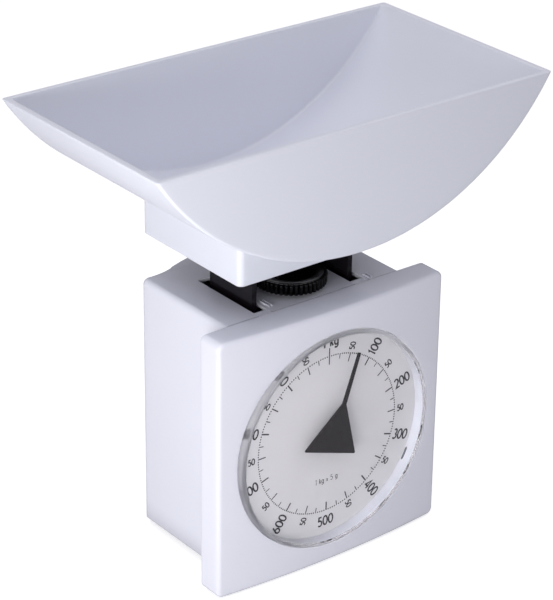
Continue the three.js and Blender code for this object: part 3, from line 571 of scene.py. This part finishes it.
def putColumn(name, plan, offsets, heights, closeTop, *where):
    # a plan carried up through a few offsets and heights, closed below, and above where that shows
    column = ringSweep(plan, offsets, np.array(heights)[:, None])
    n, last = len(plan), len(plan) * (len(heights) - 1)
    faces = gridFaces(len(heights), n, closeColumns=True).tolist() + [list(range(n))[::-1]]
    if closeTop:
        faces.append(list(range(last, last + n)))
    putMesh(name, column.reshape(-1, 3), faces, *where, slot="white_gloss", smooth=False)


def makeSkirt(s):
    # a box of thin walls under the trough: its top follows the trough's round underside
    outline = roundedOutline(s["halfWidth"], s["front"], s["back"], s["corner"], 36, 8)
    turn = quarterTurn(6)
    lip = s["lip"]
    wall = s["wall"]
    offsets = np.concatenate([
        -wall * np.ones(10), -wall + lip * (1 - np.cos(turn)), -lip * (1 - np.sin(turn)),
        np.zeros(13), s["fillet"] * (1 - np.cos(turn[1:])),
    ])
    under = troughAxis - np.sqrt(troughRadius ** 2 - outline[:, 0] ** 2)
    low = s["bottom"]
    rows = [(under + s["innerLap"]) * (1 - k) + (low + lip) * k for k in np.linspace(0.0, 1.0, 10)]
    rows += [np.full(len(outline), low + lip * (1 - math.sin(a))) for a in turn]
    rows += [np.full(len(outline), low + lip * (1 - math.cos(a))) for a in turn]
    top = under - s["fillet"]
    rows += [(low + lip) * (1 - k) + top * k for k in np.linspace(0.0, 1.0, 14)[1:]]
    rows += [top + (s["fillet"] + s["outerLap"]) * math.sin(a) for a in turn[1:]]
    grid = ringSweep(outline, offsets, np.stack(rows))
    faces = gridFaces(grid.shape[0], grid.shape[1], closeColumns=True)
    putMesh("tray_skirt", grid.reshape(-1, 3), faces, "trayWhite", "tray", ["tray"], "white_gloss")


def makeTrayRibs(s):
    # two upright ribs that rest on the carriage: a rounded plan carried up into the trough's floor
    top = troughAxis - math.sqrt(troughRadius ** 2 - s["apart"] ** 2) + s["lap"]
    heights = [s["foot"], s["foot"] + s["soft"], s["waist"], top]
    plan = roundedOutline(s["halfWidth"], s["front"], s["back"], s["corner"], 6, 3)
    for side, word in ((-1, "left"), (1, "right")):
        putColumn("tray_rib_" + word, plan + [side * s["apart"], 0.0], [-s["soft"], 0.0, 0.0, 0.0],
                  heights, False, "trayWhite", "tray", ["tray"])


def makeTrayPegs(s):
    # two round pegs that locate the tray on the carriage: a rounded profile turned about each axis
    r = s["radius"]
    profile = roundedProfile([(0.0, s["bottom"]), (r, s["bottom"]), (r, s["top"])], s["soft"])
    for word, y in s["places"].items():
        points, sides = lathe(profile, 24, [0, 1, 2], [0.0, y, 0.0])
        putMesh("tray_peg_" + word, points, sides, "trayWhite", "tray", ["tray"], "white_gloss")


makeTray(tray)
makeSkirt(skirt)
makeTrayRibs(trayRibs)
makeTrayPegs(trayPegs)
print("tray made")

# the bezel, the lens and the dial

dial = {
    "height": 51.3,
    "face": -7.9,
    "circle": 31.67,
    "fullScale": 1000,
    "division": 5,
    "inkLift": 0.06,
}
bezel = {
    "halfWidth": 51.0,
    "bottom": 1.0,
    "top": 103.3,
    "depth": 10.6,
    "crown": 2.9,
    "corner": 2.6,
    "edge": 1.7,  # radius round the front
    "backEdge": 0.7,
    "lip": 0.3,  # inside the back rim
    "wall": 2.0,
    "frontWall": 2.2,
    "opening": 43.1,
    "openingEdge": 0.2,
    "boreFront": -11.5,
    "collarWall": 2.0,
    "collarBack": -7.1,
}


def bezelFront(s, x):
    # the front bows out as part of a cylinder: y = -(depth + crown) at the middle, -depth at the sides
    radius = (s["halfWidth"] ** 2 + s["crown"] ** 2) / (2 * s["crown"])
    return -(s["depth"] + s["crown"]) + radius - np.sqrt(radius ** 2 - x ** 2)


def makeBezel(s):
    # one closed grid: round the opening one way, and the other way from the bore over the front,
    # round the outer edge, along the side, over the back rim and home along the inside
    def square(inset):
        return roundedOutline(s["halfWidth"] - inset, s["bottom"] + inset, s["top"] - inset,
                              s["corner"] - inset, 44, 10)

    full = square(0.0)
    centre = np.array([0.0, dial["height"]])
    direction = (full - centre) / np.linalg.norm(full - centre, axis=1)[:, None]

    def circle(radius):
        return centre + direction * radius

    rows = []

    def add(flat, y):
        rows.append(standUp(flat, y))

    soft = s["openingEdge"]
    for y in np.linspace(s["collarBack"], s["boreFront"], 5):
        add(circle(s["opening"]), y)
    for a in quarterTurn(5):
        flat = circle(s["opening"] + soft * (1 - math.cos(a)))
        add(flat, bezelFront(s, flat[:, 0]) + soft * (1 - math.sin(a)))
    start = circle(s["opening"] + soft)
    inner = square(s["edge"])
    for k in np.linspace(0.0, 1.0, 14)[1:-1]:
        flat = start + (inner - start) * k
        add(flat, bezelFront(s, flat[:, 0]))
    turn = quarterTurn(7)
    for a in turn:
        flat = square(s["edge"] * (1 - math.sin(a)))
        add(flat, bezelFront(s, inner[:, 0]) + s["edge"] * (1 - math.cos(a)))
    side = bezelFront(s, inner[:, 0]) + s["edge"]
    for k in np.linspace(0.0, 1.0, 6)[1:]:
        add(full, side * (1 - k) - s["backEdge"] * k)
    for a in turn[1:]:
        add(square(s["backEdge"] * (1 - math.cos(a))), -s["backEdge"] * (1 - math.sin(a)))
    within = square(s["wall"])
    add(square(s["wall"] - s["lip"]), 0.0)
    add(within, -s["lip"])
    back = bezelFront(s, within[:, 0]) + s["frontWall"]
    for k in (0.3, 0.6, 1.0):
        add(within, -s["lip"] * (1 - k) + back * k)
    collar = circle(s["opening"] + s["collarWall"])
    for k in np.linspace(0.0, 1.0, 8)[1:]:
        flat = within + (collar - within) * k
        add(flat, bezelFront(s, flat[:, 0]) + s["frontWall"])
    add(collar, s["collarBack"])
    grid = np.stack(rows)
    faces = gridFaces(grid.shape[0], grid.shape[1], closeRows=True, closeColumns=True)
    piece = putMesh("bezel_front", grid.reshape(-1, 3), faces, "glossWhite", "housing", ["bezel"],
                    "white_gloss")
    crease(piece, 38.0)


lens = {
    "radius": 42.9,
    "front": -14.3,
    "back": -8.2,
    "wall": 1.5,
    "frontWall": 1.5,
    "edge": 1.1,
    "middle": 20.0,
    "gap": 0.02,  # between the clear front and the wall
    "segments": 180,
    "creaseAngle": 30.0,
    "tab": {"radius": 37.0, "from": 113.0, "to": 121.0, "wide": 1.1, "high": 0.35, "lift": 0.02},
}


def makeLens(s):
    # a flat clear front, and the wall round it with a rounded front edge, both turned about the
    # dial's axis
    r = s["radius"]
    inner = r - s["wall"]
    inside = s["front"] + s["frontWall"]
    rim = inner - s["gap"]
    front = [(0.0, s["front"]), (s["middle"], s["front"]), (rim, s["front"]), (rim, inside),
             (s["middle"], inside), (0.0, inside)]
    points, faces = latheY(front, s["segments"])
    plate = putMesh("lens_front", points, faces, "clearLens", "housing", ["lens"], "clear_plastic")
    crease(plate, s["creaseAngle"])
    turn = quarterTurn(9)
    edge = np.stack([r - s["edge"] * (1 - np.sin(turn)), s["front"] + s["edge"] * (1 - np.cos(turn))], -1)
    ring = [(inner, s["front"]), (r, s["back"]), (inner, s["back"]), (inner, inside)]
    profile = np.concatenate([ring[:1], edge, ring[1:]])
    points = latheY(profile, s["segments"])[0]
    faces = gridFaces(len(profile), s["segments"], closeRows=True, closeColumns=True)
    wall = putMesh("lens_wall", points, faces, "lensWall", "housing", ["lens"], "clear_plastic")
    crease(wall, s["creaseAngle"])


def makeLensTab(s):
    # the small cut-off gate on the lens's inside: a curved bar, rounded at both ends
    t = s["tab"]
    along, around = 17, 12
    a = np.radians(90.0 - np.linspace(t["from"], t["to"], along))
    v = wholeTurn(around)
    swell = np.sqrt(np.clip(1 - np.linspace(-1.0, 1.0, along) ** 6, 0.02, 1.0))[:, None]
    radius = t["radius"] + 0.5 * t["wide"] * swell * np.cos(v)
    depth = s["front"] + s["frontWall"] + t["lift"] + 0.5 * t["high"] * swell * np.sin(v)
    x = radius * np.cos(a)[:, None]
    z = dial["height"] + radius * np.sin(a)[:, None]
    points = np.stack([x, depth, z], -1).reshape(-1, 3)
    faces = gridFaces(along, around, closeColumns=True).tolist()
    faces += [list(range(around)), list(range((along - 1) * around, along * around))]
    putMesh("lens_gate_mark", points, faces, "gateGrey", "housing", ["lens"], "clear_plastic")


# each figure's width and strokes on a cell one unit high: a stroke is a list of points, and of arcs as
# (centre x, centre y, radius x, radius y, from, to) in degrees
figures = {
    "0": (0.62, [[(0.31, 0.5, 0.28, 0.47, 0, 360)]]),
    "1": (0.34, [[(0.06, 0.80), (0.22, 0.97), (0.22, 0.0)]]),
    "2": (0.56, [[(0.28, 0.70, 0.24, 0.27, 160, -25), (0.06, 0.03), (0.54, 0.03)]]),
    "3": (0.56, [[(0.27, 0.74, 0.21, 0.23, 140, -80)], [(0.27, 0.27, 0.25, 0.25, 88, -145)]]),
    "4": (0.62, [[(0.46, 0.0), (0.46, 0.97), (0.04, 0.27), (0.60, 0.27)]]),
    "5": (0.58, [[(0.50, 0.96), (0.17, 0.96), (0.11, 0.52)],
                 [(0.27, 0.31, 0.26, 0.29, 128, -140)]]),
    "6": (0.60, [[(0.30, 0.29, 0.26, 0.27, 0, 360)], [(0.38, 0.97), (0.09, 0.45)]]),
    "7": (0.54, [[(0.04, 0.95), (0.50, 0.95), (0.17, 0.0)]]),
    "8": (0.58, [[(0.29, 0.74, 0.20, 0.22, 0, 360)], [(0.29, 0.27, 0.25, 0.25, 0, 360)]]),
    "9": (0.60, [[(0.30, 0.69, 0.26, 0.27, 0, 360)], [(0.51, 0.53), (0.22, 0.0)]]),
    "k": (0.44, [[(0.08, 1.0), (0.08, 0.0)], [(0.38, 0.62), (0.10, 0.30)], [(0.19, 0.40), (0.42, 0.0)]]),
    "g": (0.56, [[(0.27, 0.31, 0.22, 0.29, 0, 360)],
                 [(0.50, 0.62), (0.50, -0.04), (0.28, -0.05, 0.22, 0.22, 0, -150)]]),
    "x": (0.40, [[(0.04, 0.55), (0.36, 0.05)], [(0.36, 0.55), (0.04, 0.05)]]),
    " ": (0.34, []),
}


def strokePath(items):
    # straight points and arcs strung together as one line of points
    parts = []
    for item in items:
        if len(item) == 2:
            parts.append(np.array([item], dtype=float))
        else:
            cx, cy, rx, ry, start, stop = item
            a = np.radians(np.linspace(start, stop, max(5, int(abs(stop - start) / 18))))
            parts.append(np.stack([cx + rx * np.cos(a), cy + ry * np.sin(a)], -1))
    return np.concatenate(parts)


def ribbon(path, width):
    # a flat strip of one width along a line: each point gets one neighbour on either side of it,
    # along the mean of its two normals
    step = np.diff(path, axis=0)
    step /= np.linalg.norm(step, axis=1)[:, None] + 1e-9
    before = np.concatenate([step[:1], step])
    after = np.concatenate([step, step[-1:]])
    if np.linalg.norm(path[0] - path[-1]) < 1e-6:
        before[0] = step[-1]
        after[-1] = step[0]
    mean = before + after
    mean /= np.linalg.norm(mean, axis=1)[:, None] + 1e-9
    spread = 0.5 * width / np.clip(np.sum(mean * before, axis=1), 0.5, 1.0)
    normal = np.stack([-mean[:, 1], mean[:, 0]], -1) * spread[:, None]
    points = np.stack([path - normal, path + normal], 1).reshape(-1, 2)
    return points, gridFaces(len(path), 2)


def dialAngle(grams):
    # a reading's angle, anticlockwise from the dial's right: readings run clockwise from the top
    return math.pi / 2 - grams / dial["fullScale"] * 2 * math.pi


class Print:
    # ink laid on the dial: flat shapes gathered into one sheet
    def __init__(self):
        self.points = []
        self.faces = []
        self.count = 0

    def add(self, flat, faces):
        self.points.append(flat)
        self.faces += (np.asarray(faces) + self.count).tolist()
        self.count += len(flat)

    def write(self, text, height, weight, at, turn, align=0.5, squeeze=0.88):
        # a line of figures at a place on the dial, its baseline turned, its middle height on the place
        spacing = 0.11 * height
        widths = [figures[c][0] * height * squeeze + spacing for c in text]
        pen = -align * sum(widths)
        for c, wide in zip(text, widths):
            for stroke in figures[c][1]:
                path = strokePath(stroke) * [height * squeeze, height] + [pen, -0.5 * height]
                flat, faces = ribbon(path, weight)
                self.add(turnFlat(flat, turn) + at, faces)
            pen += wide


marks = {
    "shortEvery": 25,  # grams between the short ticks, the long ones and the heavy numbered ones
    "longEvery": 50,
    "heavyEvery": 100,
    "dotRadius": 0.30,
    "dotSides": 8,
    "shortTick": 1.9,
    "longTick": 3.3,
    "tickOver": 0.2,  # how far a tick passes the circle
    "tickWidth": 0.44,
    "shortWidth": 0.352,
    "heavyWidth": 0.55,
    "zeroReach": 3.3,
    "largeHeight": 3.9,
    "smallHeight": 2.5,
    "largeWeight": 0.66,
    "smallWeight": 0.47,
    "largeFrom": 33.1,  # radius at which the numbers start
    "smallFrom": 33.0,
    "halfDrop": 4.4,  # the number at the bottom, below the circle
    "unitPlace": (0.7, 5.9),  # the unit at the top, right of the middle and above the circle
    "note": {"text": "1 kg x 5 g", "height": 2.2, "weight": 0.24, "at": (0.0, -18.6)},
}


def makeMarks(s):
    # dots, ticks and numbers round the circle, each at its reading's angle
    ink = Print()

    def spoke(grams, inner, outer, width):
        a = dialAngle(grams)
        along = np.array([math.cos(a), math.sin(a)])
        flat, faces = ribbon(np.array([along * inner, along * outer]), width)
        ink.add(flat, faces)

    r = dial["circle"]
    half = dial["fullScale"] // 2
    outer = r + s["tickOver"]
    steps = np.arange(0, dial["fullScale"], dial["division"])
    ring = wholeTurn(s["dotSides"])
    for grams in steps[steps % s["shortEvery"] != 0]:
        a = dialAngle(grams)
        dot = np.stack([r * math.cos(a) + s["dotRadius"] * np.cos(ring),
                        r * math.sin(a) + s["dotRadius"] * np.sin(ring)], -1)
        ink.add(dot, [list(range(s["dotSides"]))])
    for grams in steps[steps % s["longEvery"] == s["shortEvery"]]:
        spoke(grams, r - s["shortTick"], outer, s["shortWidth"])
    numbered = steps[(steps % s["longEvery"] == 0) & (steps > 0)]
    for grams in numbered:
        heavy = grams % s["heavyEvery"] == 0
        spoke(grams, r - s["longTick"], outer, s["heavyWidth"] if heavy else s["tickWidth"])
    spoke(0, r - s["zeroReach"], r + s["zeroReach"], s["tickWidth"])
    for grams in numbered[numbered != half]:
        size = "large" if grams % s["heavyEvery"] == 0 else "small"
        text = str(grams) if size == "large" else "50"
        a = dialAngle(grams)
        at = np.array([math.cos(a), math.sin(a)]) * s[size + "From"]
        # numbers read outwards on the right, and inwards on the left
        turn, align = (a, 0.0) if grams < half else (a + math.pi, 1.0)
        ink.write(text, s[size + "Height"], s[size + "Weight"], at, turn, align)
    right, above = s["unitPlace"]
    ink.write(str(half), s["largeHeight"], s["largeWeight"], np.array([0.0, -r - s["halfDrop"]]), 0.0)
    ink.write("1 kg", s["largeHeight"], s["largeWeight"], np.array([right, r + above]), 0.0)
    note = s["note"]
    ink.write(note["text"], note["height"], note["weight"], np.array(note["at"]), 0.0)
    flat = np.concatenate(ink.points) + [0.0, dial["height"]]
    points = standUp(flat, dial["face"] - dial["inkLift"])
    putMesh("dial_print", points, ink.faces, "printInk", "housing", slot="black_plastic",
            smooth=False, weld=1e-9)


makeBezel(bezel)
makeLens(lens)
makeLensTab(lens)
makeMarks(marks)
print("front made")

# the rear housing

knobMiddle = 14.6  # y of the knob's axis
housing = {
    "halfWidth": 40.1,
    "front": -0.35,
    "topFront": 1.2,  # the top stops short of the bezel
    "rear": 51.5,
    "bottom": 2.6,
    "top": 102.5,
    "wall": 1.3,
    "corner": 3.0,
    "topEdge": 2.3,
    "bottomEdge": 0.4,
    "edgeBevel": 0.3,
    "bulgeHalf": 30.3,
    "bulge": 7.3,
    "fillet": 5.0,
    "filletGap": 0.3,  # between the fillet's end and the next point of the bow
    "slotInner": 18.9,
    "slotOuter": 24.7,
    "slotBack": 37.1,
    "screwHole": 2.6,
    "holeSides": 32,
}


def softenCorner(p, corner, q, radius, steps):
    # a parabola that joins the runs from p and to q, and touches both a radius from their corner
    t = np.linspace(0.0, 1.0, steps)[:, None]
    a = corner + (p - corner) / np.linalg.norm(p - corner) * radius
    b = corner + (q - corner) / np.linalg.norm(q - corner) * radius
    return (1 - t) ** 2 * a + 2 * t * (1 - t) * corner + t ** 2 * b


def housingPath(s):
    # the plan from the front right, back along the side, round the corner, over the bowed rear wall
    # with a soft hollow at each end of the bow, and forward along the left side
    w, rear, c = s["halfWidth"], s["rear"], s["corner"]
    radius = (s["bulgeHalf"] ** 2 + s["bulge"] ** 2) / (2 * s["bulge"])
    axis = rear + s["bulge"] - radius
    sweep = math.asin(s["bulgeHalf"] / radius)
    side = np.stack([np.full(24, w), np.linspace(s["front"], rear - c, 24)], -1)
    turn = quarterTurn(10)[1:]
    corner = np.stack([w - c + c * np.cos(turn), rear - c + c * np.sin(turn)], -1)
    a = np.linspace(math.pi / 2 - sweep, math.pi / 2, 34)
    bow = np.stack([radius * np.cos(a), axis + radius * np.sin(a)], -1)
    joint = bow[0]
    hollow = softenCorner(corner[-1], joint, bow[12], s["fillet"], 9)
    bow = bow[np.linalg.norm(bow - joint, axis=1) > s["fillet"] + s["filletGap"]]
    half = np.concatenate([side, corner, hollow, bow])
    left = half[-2::-1] * [-1.0, 1.0]
    return np.concatenate([half, left])


def offsetPath(path, amount):
    # an open path moved sideways, to its left, by an amount at each point
    ahead = np.gradient(path, axis=0)
    normal = np.stack([-ahead[:, 1], ahead[:, 0]], -1)
    normal /= np.linalg.norm(normal, axis=1)[:, None]
    return path + normal * amount


def makeHousing(s):
    # walls carried round the plan, a rounded top edge, and a flat top with two slots cut from its front
    path = housingPath(s)
    turn = quarterTurn(9)
    rows = []

    def add(flat, z, front=s["front"]):
        kept = np.stack([flat[:, 0], np.maximum(flat[:, 1], front)], -1)
        rows.append(np.concatenate([kept, np.full((len(flat), 1), z)], -1))

    shoulder = s["top"] - s["topEdge"]
    add(offsetPath(path, s["bottomEdge"]), s["bottom"])
    for z in np.linspace(s["bottom"] + s["bottomEdge"], shoulder, 12):
        add(path, z)
    for a in turn[1:]:
        front = s["front"] + (s["topFront"] - s["front"]) * math.sin(a)
        inward = s["topEdge"] * (1 - math.cos(a))
        add(offsetPath(path, inward), shoulder + s["topEdge"] * math.sin(a), front)
    grid = np.stack(rows)
    faces = gridFaces(grid.shape[0], grid.shape[1]).tolist()
    edge = grid[-1]
    count = grid.shape[0] * grid.shape[1]
    # the two slots are steps in the top's outline, and the screw passes through a round hole
    slots = []
    for x in (-s["slotOuter"], -s["slotInner"], s["slotInner"], s["slotOuter"]):
        front = (x, s["topFront"], s["top"])
        back = (x, s["slotBack"], s["top"])
        slots += [front, back] if len(slots) in (0, 4) else [back, front]
    a = wholeTurn(s["holeSides"])
    hole = np.stack([s["screwHole"] * np.cos(a), knobMiddle + s["screwHole"] * np.sin(a),
                     np.full(len(a), s["top"])], -1)
    rim = np.concatenate([edge, slots])
    cells = tessellate_polygon([[Vector(p) for p in rim], [Vector(p) for p in hole]])
    topIndex = np.arange(count - len(edge), count + len(slots) + len(hole))
    faces += [[int(topIndex[i]) for i in cell] for cell in cells]
    points = np.concatenate([grid.reshape(-1, 3), slots, hole])
    piece = putMesh("housing_shell", points, faces, "glossWhite", "housing", ["rear_housing"],
                    "white_gloss")
    wall = piece.modifiers.new("wall", "SOLIDIFY")
    wall.thickness = s["wall"] * 0.001
    wall.offset = -1.0
    bevel(piece, s["edgeBevel"], 50.0)


ribs = {
    "places": {"left": (-16.6, 4.5, 10.2), "right": (27.0, 1.8, 5.7)},  # x, and y from and to
    "apart": 1.3,
    "halfWidth": 0.27,
    "corner": 0.2,
    "top": 103.05,
    "foot": 102.4,
    "soft": 0.12,
}


def makeRibs(s):
    # two pairs of short low ribs on the housing's top, beside the slots: a rounded plan carried up
    heights = [s["foot"], s["top"] - s["soft"], s["top"]]
    for side, (x, start, end) in s["places"].items():
        for pair, word in ((-0.5, "inner"), (0.5, "outer")):
            plan = roundedOutline(s["halfWidth"], start, end, s["corner"], 4, 4)
            putColumn("housing_rib_" + side + "_" + word, plan + [x + pair * s["apart"], 0.0],
                      [0.0, 0.0, -s["soft"]], heights, True, "glossWhite", "housing", ["rear_housing"])


flange = {
    "halfWidth": 48.7,
    "low": 3.3,
    "high": 101.0,
    "front": -2.3,
    "back": -0.3,
    "corner": 1.6,
    "windowHalf": 38.1,
    "windowLow": 5.3,
    "windowHigh": 99.8,
    "windowCorner": 0.5,
    "soft": 0.3,
}


def makeFlange(s):
    # a flat ring behind the bezel: each point of the outer outline is paired with one of the window
    outer = roundedOutline(s["halfWidth"], s["low"], s["high"], s["corner"], 20, 5)
    inner = roundedOutline(s["windowHalf"], s["windowLow"], s["windowHigh"], s["windowCorner"], 20, 5)
    grid = np.stack([standUp(outer, s["back"]), standUp(outer, s["front"]),
                     standUp(inner, s["front"]), standUp(inner, s["back"])])
    faces = gridFaces(4, len(outer), closeRows=True, closeColumns=True)
    piece = putMesh("housing_flange", grid.reshape(-1, 3), faces, "glossWhite", "housing",
                    ["rear_housing"], "white_gloss", smooth=False)
    bevel(piece, s["soft"])


makeHousing(housing)
makeRibs(ribs)
makeFlange(flange)
print("housing made")

# the zero knob

knob = {
    "radius": 13.4,
    "bottom": 104.2,
    "top": 108.2,
    "teeth": 44,
    "groove": 1.0,
    "sharpness": 0.7,
    "soft": 0.5,
    "under": 1.2,  # width of the flat under the rim, where the grooves fade in
    "lip": 1.4,
    "dishEdge": 2.0,
    "dish": 0.5,
    "capOuter": 4.2,
    "capInner": 3.8,
    "capDrop": 0.1,
    "bossRadius": 6.0,
    "bossBottom": 102.8,
}


def makeKnob(s):
    # the rim's radius falls and rises with the angle, sharper in the grooves than on the teeth, and
    # the grooves fade out over the top edge
    columns = s["teeth"] * 10
    a = wholeTurn(columns)
    wave = np.abs(np.sin(a * s["teeth"] / 2)) ** s["sharpness"]
    groove = s["groove"] * (1 - wave)
    soft, r, low, top = s["soft"], s["radius"], s["bottom"], s["top"]
    turn = quarterTurn(6)
    # radius, height and share of the groove
    profile = [(0.0, s["bossBottom"], 0.0), (s["bossRadius"], s["bossBottom"], 0.0),
               (s["bossRadius"], low, 0.0), (r - s["under"], low, 0.3)]
    profile += [(r - soft + soft * math.sin(t), low + soft * (1 - math.cos(t)), 1.0) for t in turn]
    profile += [(r - soft + soft * math.cos(t), top - soft + soft * math.sin(t), 1.0) for t in turn]
    profile += [(r - s["lip"], top, 0.0), (r - s["dishEdge"], top - s["dish"], 0.0),
                (s["capOuter"], top - s["dish"], 0.0), (s["capInner"], top - s["capDrop"], 0.0),
                (0.0, top - s["capDrop"], 0.0)]
    profile = np.array(profile)
    radius = np.maximum(profile[:, 0, None] - profile[:, 2, None] * groove, 0.0)
    x = radius * np.cos(a)
    y = knobMiddle + radius * np.sin(a)
    z = np.broadcast_to(profile[:, 1, None], x.shape)
    faces = gridFaces(len(profile), columns, closeColumns=True)
    points = np.stack([x, y, z], -1).reshape(-1, 3)
    piece = putMesh("zero_knob_cap", points, faces, "blackMoulding", "zero_adjuster", ["zero_knob"],
                    "black_plastic")
    crease(piece, 50.0)


makeKnob(knob)

# the pointer

pointer = {
    "reading": 53,  # grams
    "tip": 33.2,
    "tipHalf": 0.70,
    "neck": 13.35,
    "neckHalf": 0.96,
    "base": -5.75,
    "baseHalf": 12.7,
    "chamfer": 0.6,
    "soft": 0.09,
    "front": -11.9,
    "back": -11.4,
    "hub": 2.1,
    "hubBack": -8.6,
    "hubLap": 0.05,
    "hubSoft": 0.15,
    "bore": 0.8,
    "boreEnd": -11.2,
}


def makePointer(s):
    # a flat needle that widens into a triangle, with its two far corners cut off
    b, h, c = s["base"], s["baseHalf"], s["chamfer"]
    half = np.array([[h - c * 1.2, b], [h - c * 0.55, b + c * 0.75], [s["neckHalf"], s["neck"]],
                     [s["tipHalf"], s["tip"]]])
    flat = np.concatenate([half, half[::-1] * [-1.0, 1.0]])
    n = len(flat)
    turned = turnFlat(flat, dialAngle(s["reading"]) - dialAngle(0)) + [0.0, dial["height"]]
    points = [standUp(turned, s["front"]), standUp(turned, s["back"])]
    faces = gridFaces(2, n, closeColumns=True).tolist() + [list(range(n)), list(range(n, 2 * n))]
    piece = putMesh("pointer_blade", np.concatenate(points), faces, "pointerBlack", "pointer_shaft",
                    ["pointer"], "black_plastic", smooth=False)
    bevel(piece, s["soft"], 40.0)
    # the hub is a short tube with a closed front, turned about the dial's axis
    start = s["back"] - s["hubLap"]
    profile = [(0.0, start), (s["hub"], start), (s["hub"], s["hubBack"]), (s["bore"], s["hubBack"]),
               (s["bore"], s["boreEnd"]), (0.0, s["boreEnd"])]
    ring, sides = latheY(roundedProfile(profile, s["hubSoft"], 2), 32)
    putMesh("pointer_hub", ring, sides, "pointerBlack", "pointer_shaft", ["pointer"], "black_plastic")


makePointer(pointer)
print("knob and pointer made")

# finishes for the pieces kept from the frame

def numbered(stem, count):
    return [stem + "_" + str(number) for number in range(1, count + 1)]


def sided(*stems):
    return [stem + side for stem in stems for side in ("_left", "_right")]


kept = {
    "platedSteel": ["rack_bracket", "rack_pivot_pin", "pinion_shaft", "bearing_bracket", "adjuster_screw",
                    "upper_lever_shaft", "lower_lever_shaft",
                    *sided("upper_stud", "lower_stud", "bridge_rivet"),
                    *numbered("crosshead_rivet_left", 2), *numbered("crosshead_rivet_right", 2),
                    *numbered("bracket_rivet", 2), *numbered("bearing_screw", 2),
                    *numbered("frame_screw", 4), *numbered("bezel_screw", 4), *numbered("base_screw", 2)],
    "springSteel": ["main_spring", "adjuster_clip", "rack_leaf_spring"],
    "turnedBrass": ["rack", "pinion", "front_bush", "rear_bush"],
    "blackPaint": [*sided("carriage_arm"), "carriage_crosshead", "carriage_lower_bridge",
                   "upper_guide_lever", "lower_guide_lever"],
    "satinWhite": ["base_plate", "spring_hanger"],
    "frameWithPaintedShade": ["mechanism_frame"],
    "dialWhite": ["dial_plate"],
    "footRubber": [*sided("foot_front", "foot_rear"), "overload_stop"],
}
for finish, names in kept.items():
    for name in names:
        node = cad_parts[name]
        node.data.materials.clear()
        node.data.materials.append(materials[finish])
print("finishes set")

# the stage

floor = {"half": 6.0, "color": (0.62, 0.62, 0.64), "roughness": 0.6, "grain": 0.1, "lift": 0.70}


def makeFloor(s):
    # the floor throws little light back, and the camera sees it lifted to white, with soft shadows
    h = s["half"]
    mesh = bpy.data.meshes.new("floor")
    mesh.from_pydata([(-h, -h, 0), (h, -h, 0), (h, h, 0), (-h, h, 0)], [], [(0, 1, 2, 3)])
    ground = bpy.data.objects.new("floor", mesh)
    bpy.context.scene.collection.objects.link(ground)
    material, tree, shader = startMaterial("floorPaper")
    joinGroup(tree, shader, mouldedSurface, {
        "Color": (*s["color"], 1.0), "Drift": 0.01, "Roughness": s["roughness"], "Ripple": 0.0,
        "Grain": s["grain"],
    })
    lift = addNode(tree, "ShaderNodeEmission", Color=(1.0, 1.0, 1.0, 1.0), Strength=s["lift"])
    both = addNode(tree, "ShaderNodeAddShader", [(0, shader.outputs[0]), (1, lift.outputs[0])])
    seen = addNode(tree, "ShaderNodeLightPath")
    paper = addNode(tree, "ShaderNodeMixShader", [(0, seen.outputs["Is Camera Ray"]),
                    (1, shader.outputs[0]), (2, both.outputs[0])])
    tree.links.new(paper.outputs[0], tree.nodes["Material Output"].inputs["Surface"])
    mesh.materials.append(material)


bpy.context.scene.view_settings.view_transform = "Standard"
makeCamera(camera)
makeWorld(world)
for name, settings in lights.items():
    makeLight(name, settings)
makeFloor(floor)

print("scene ready")
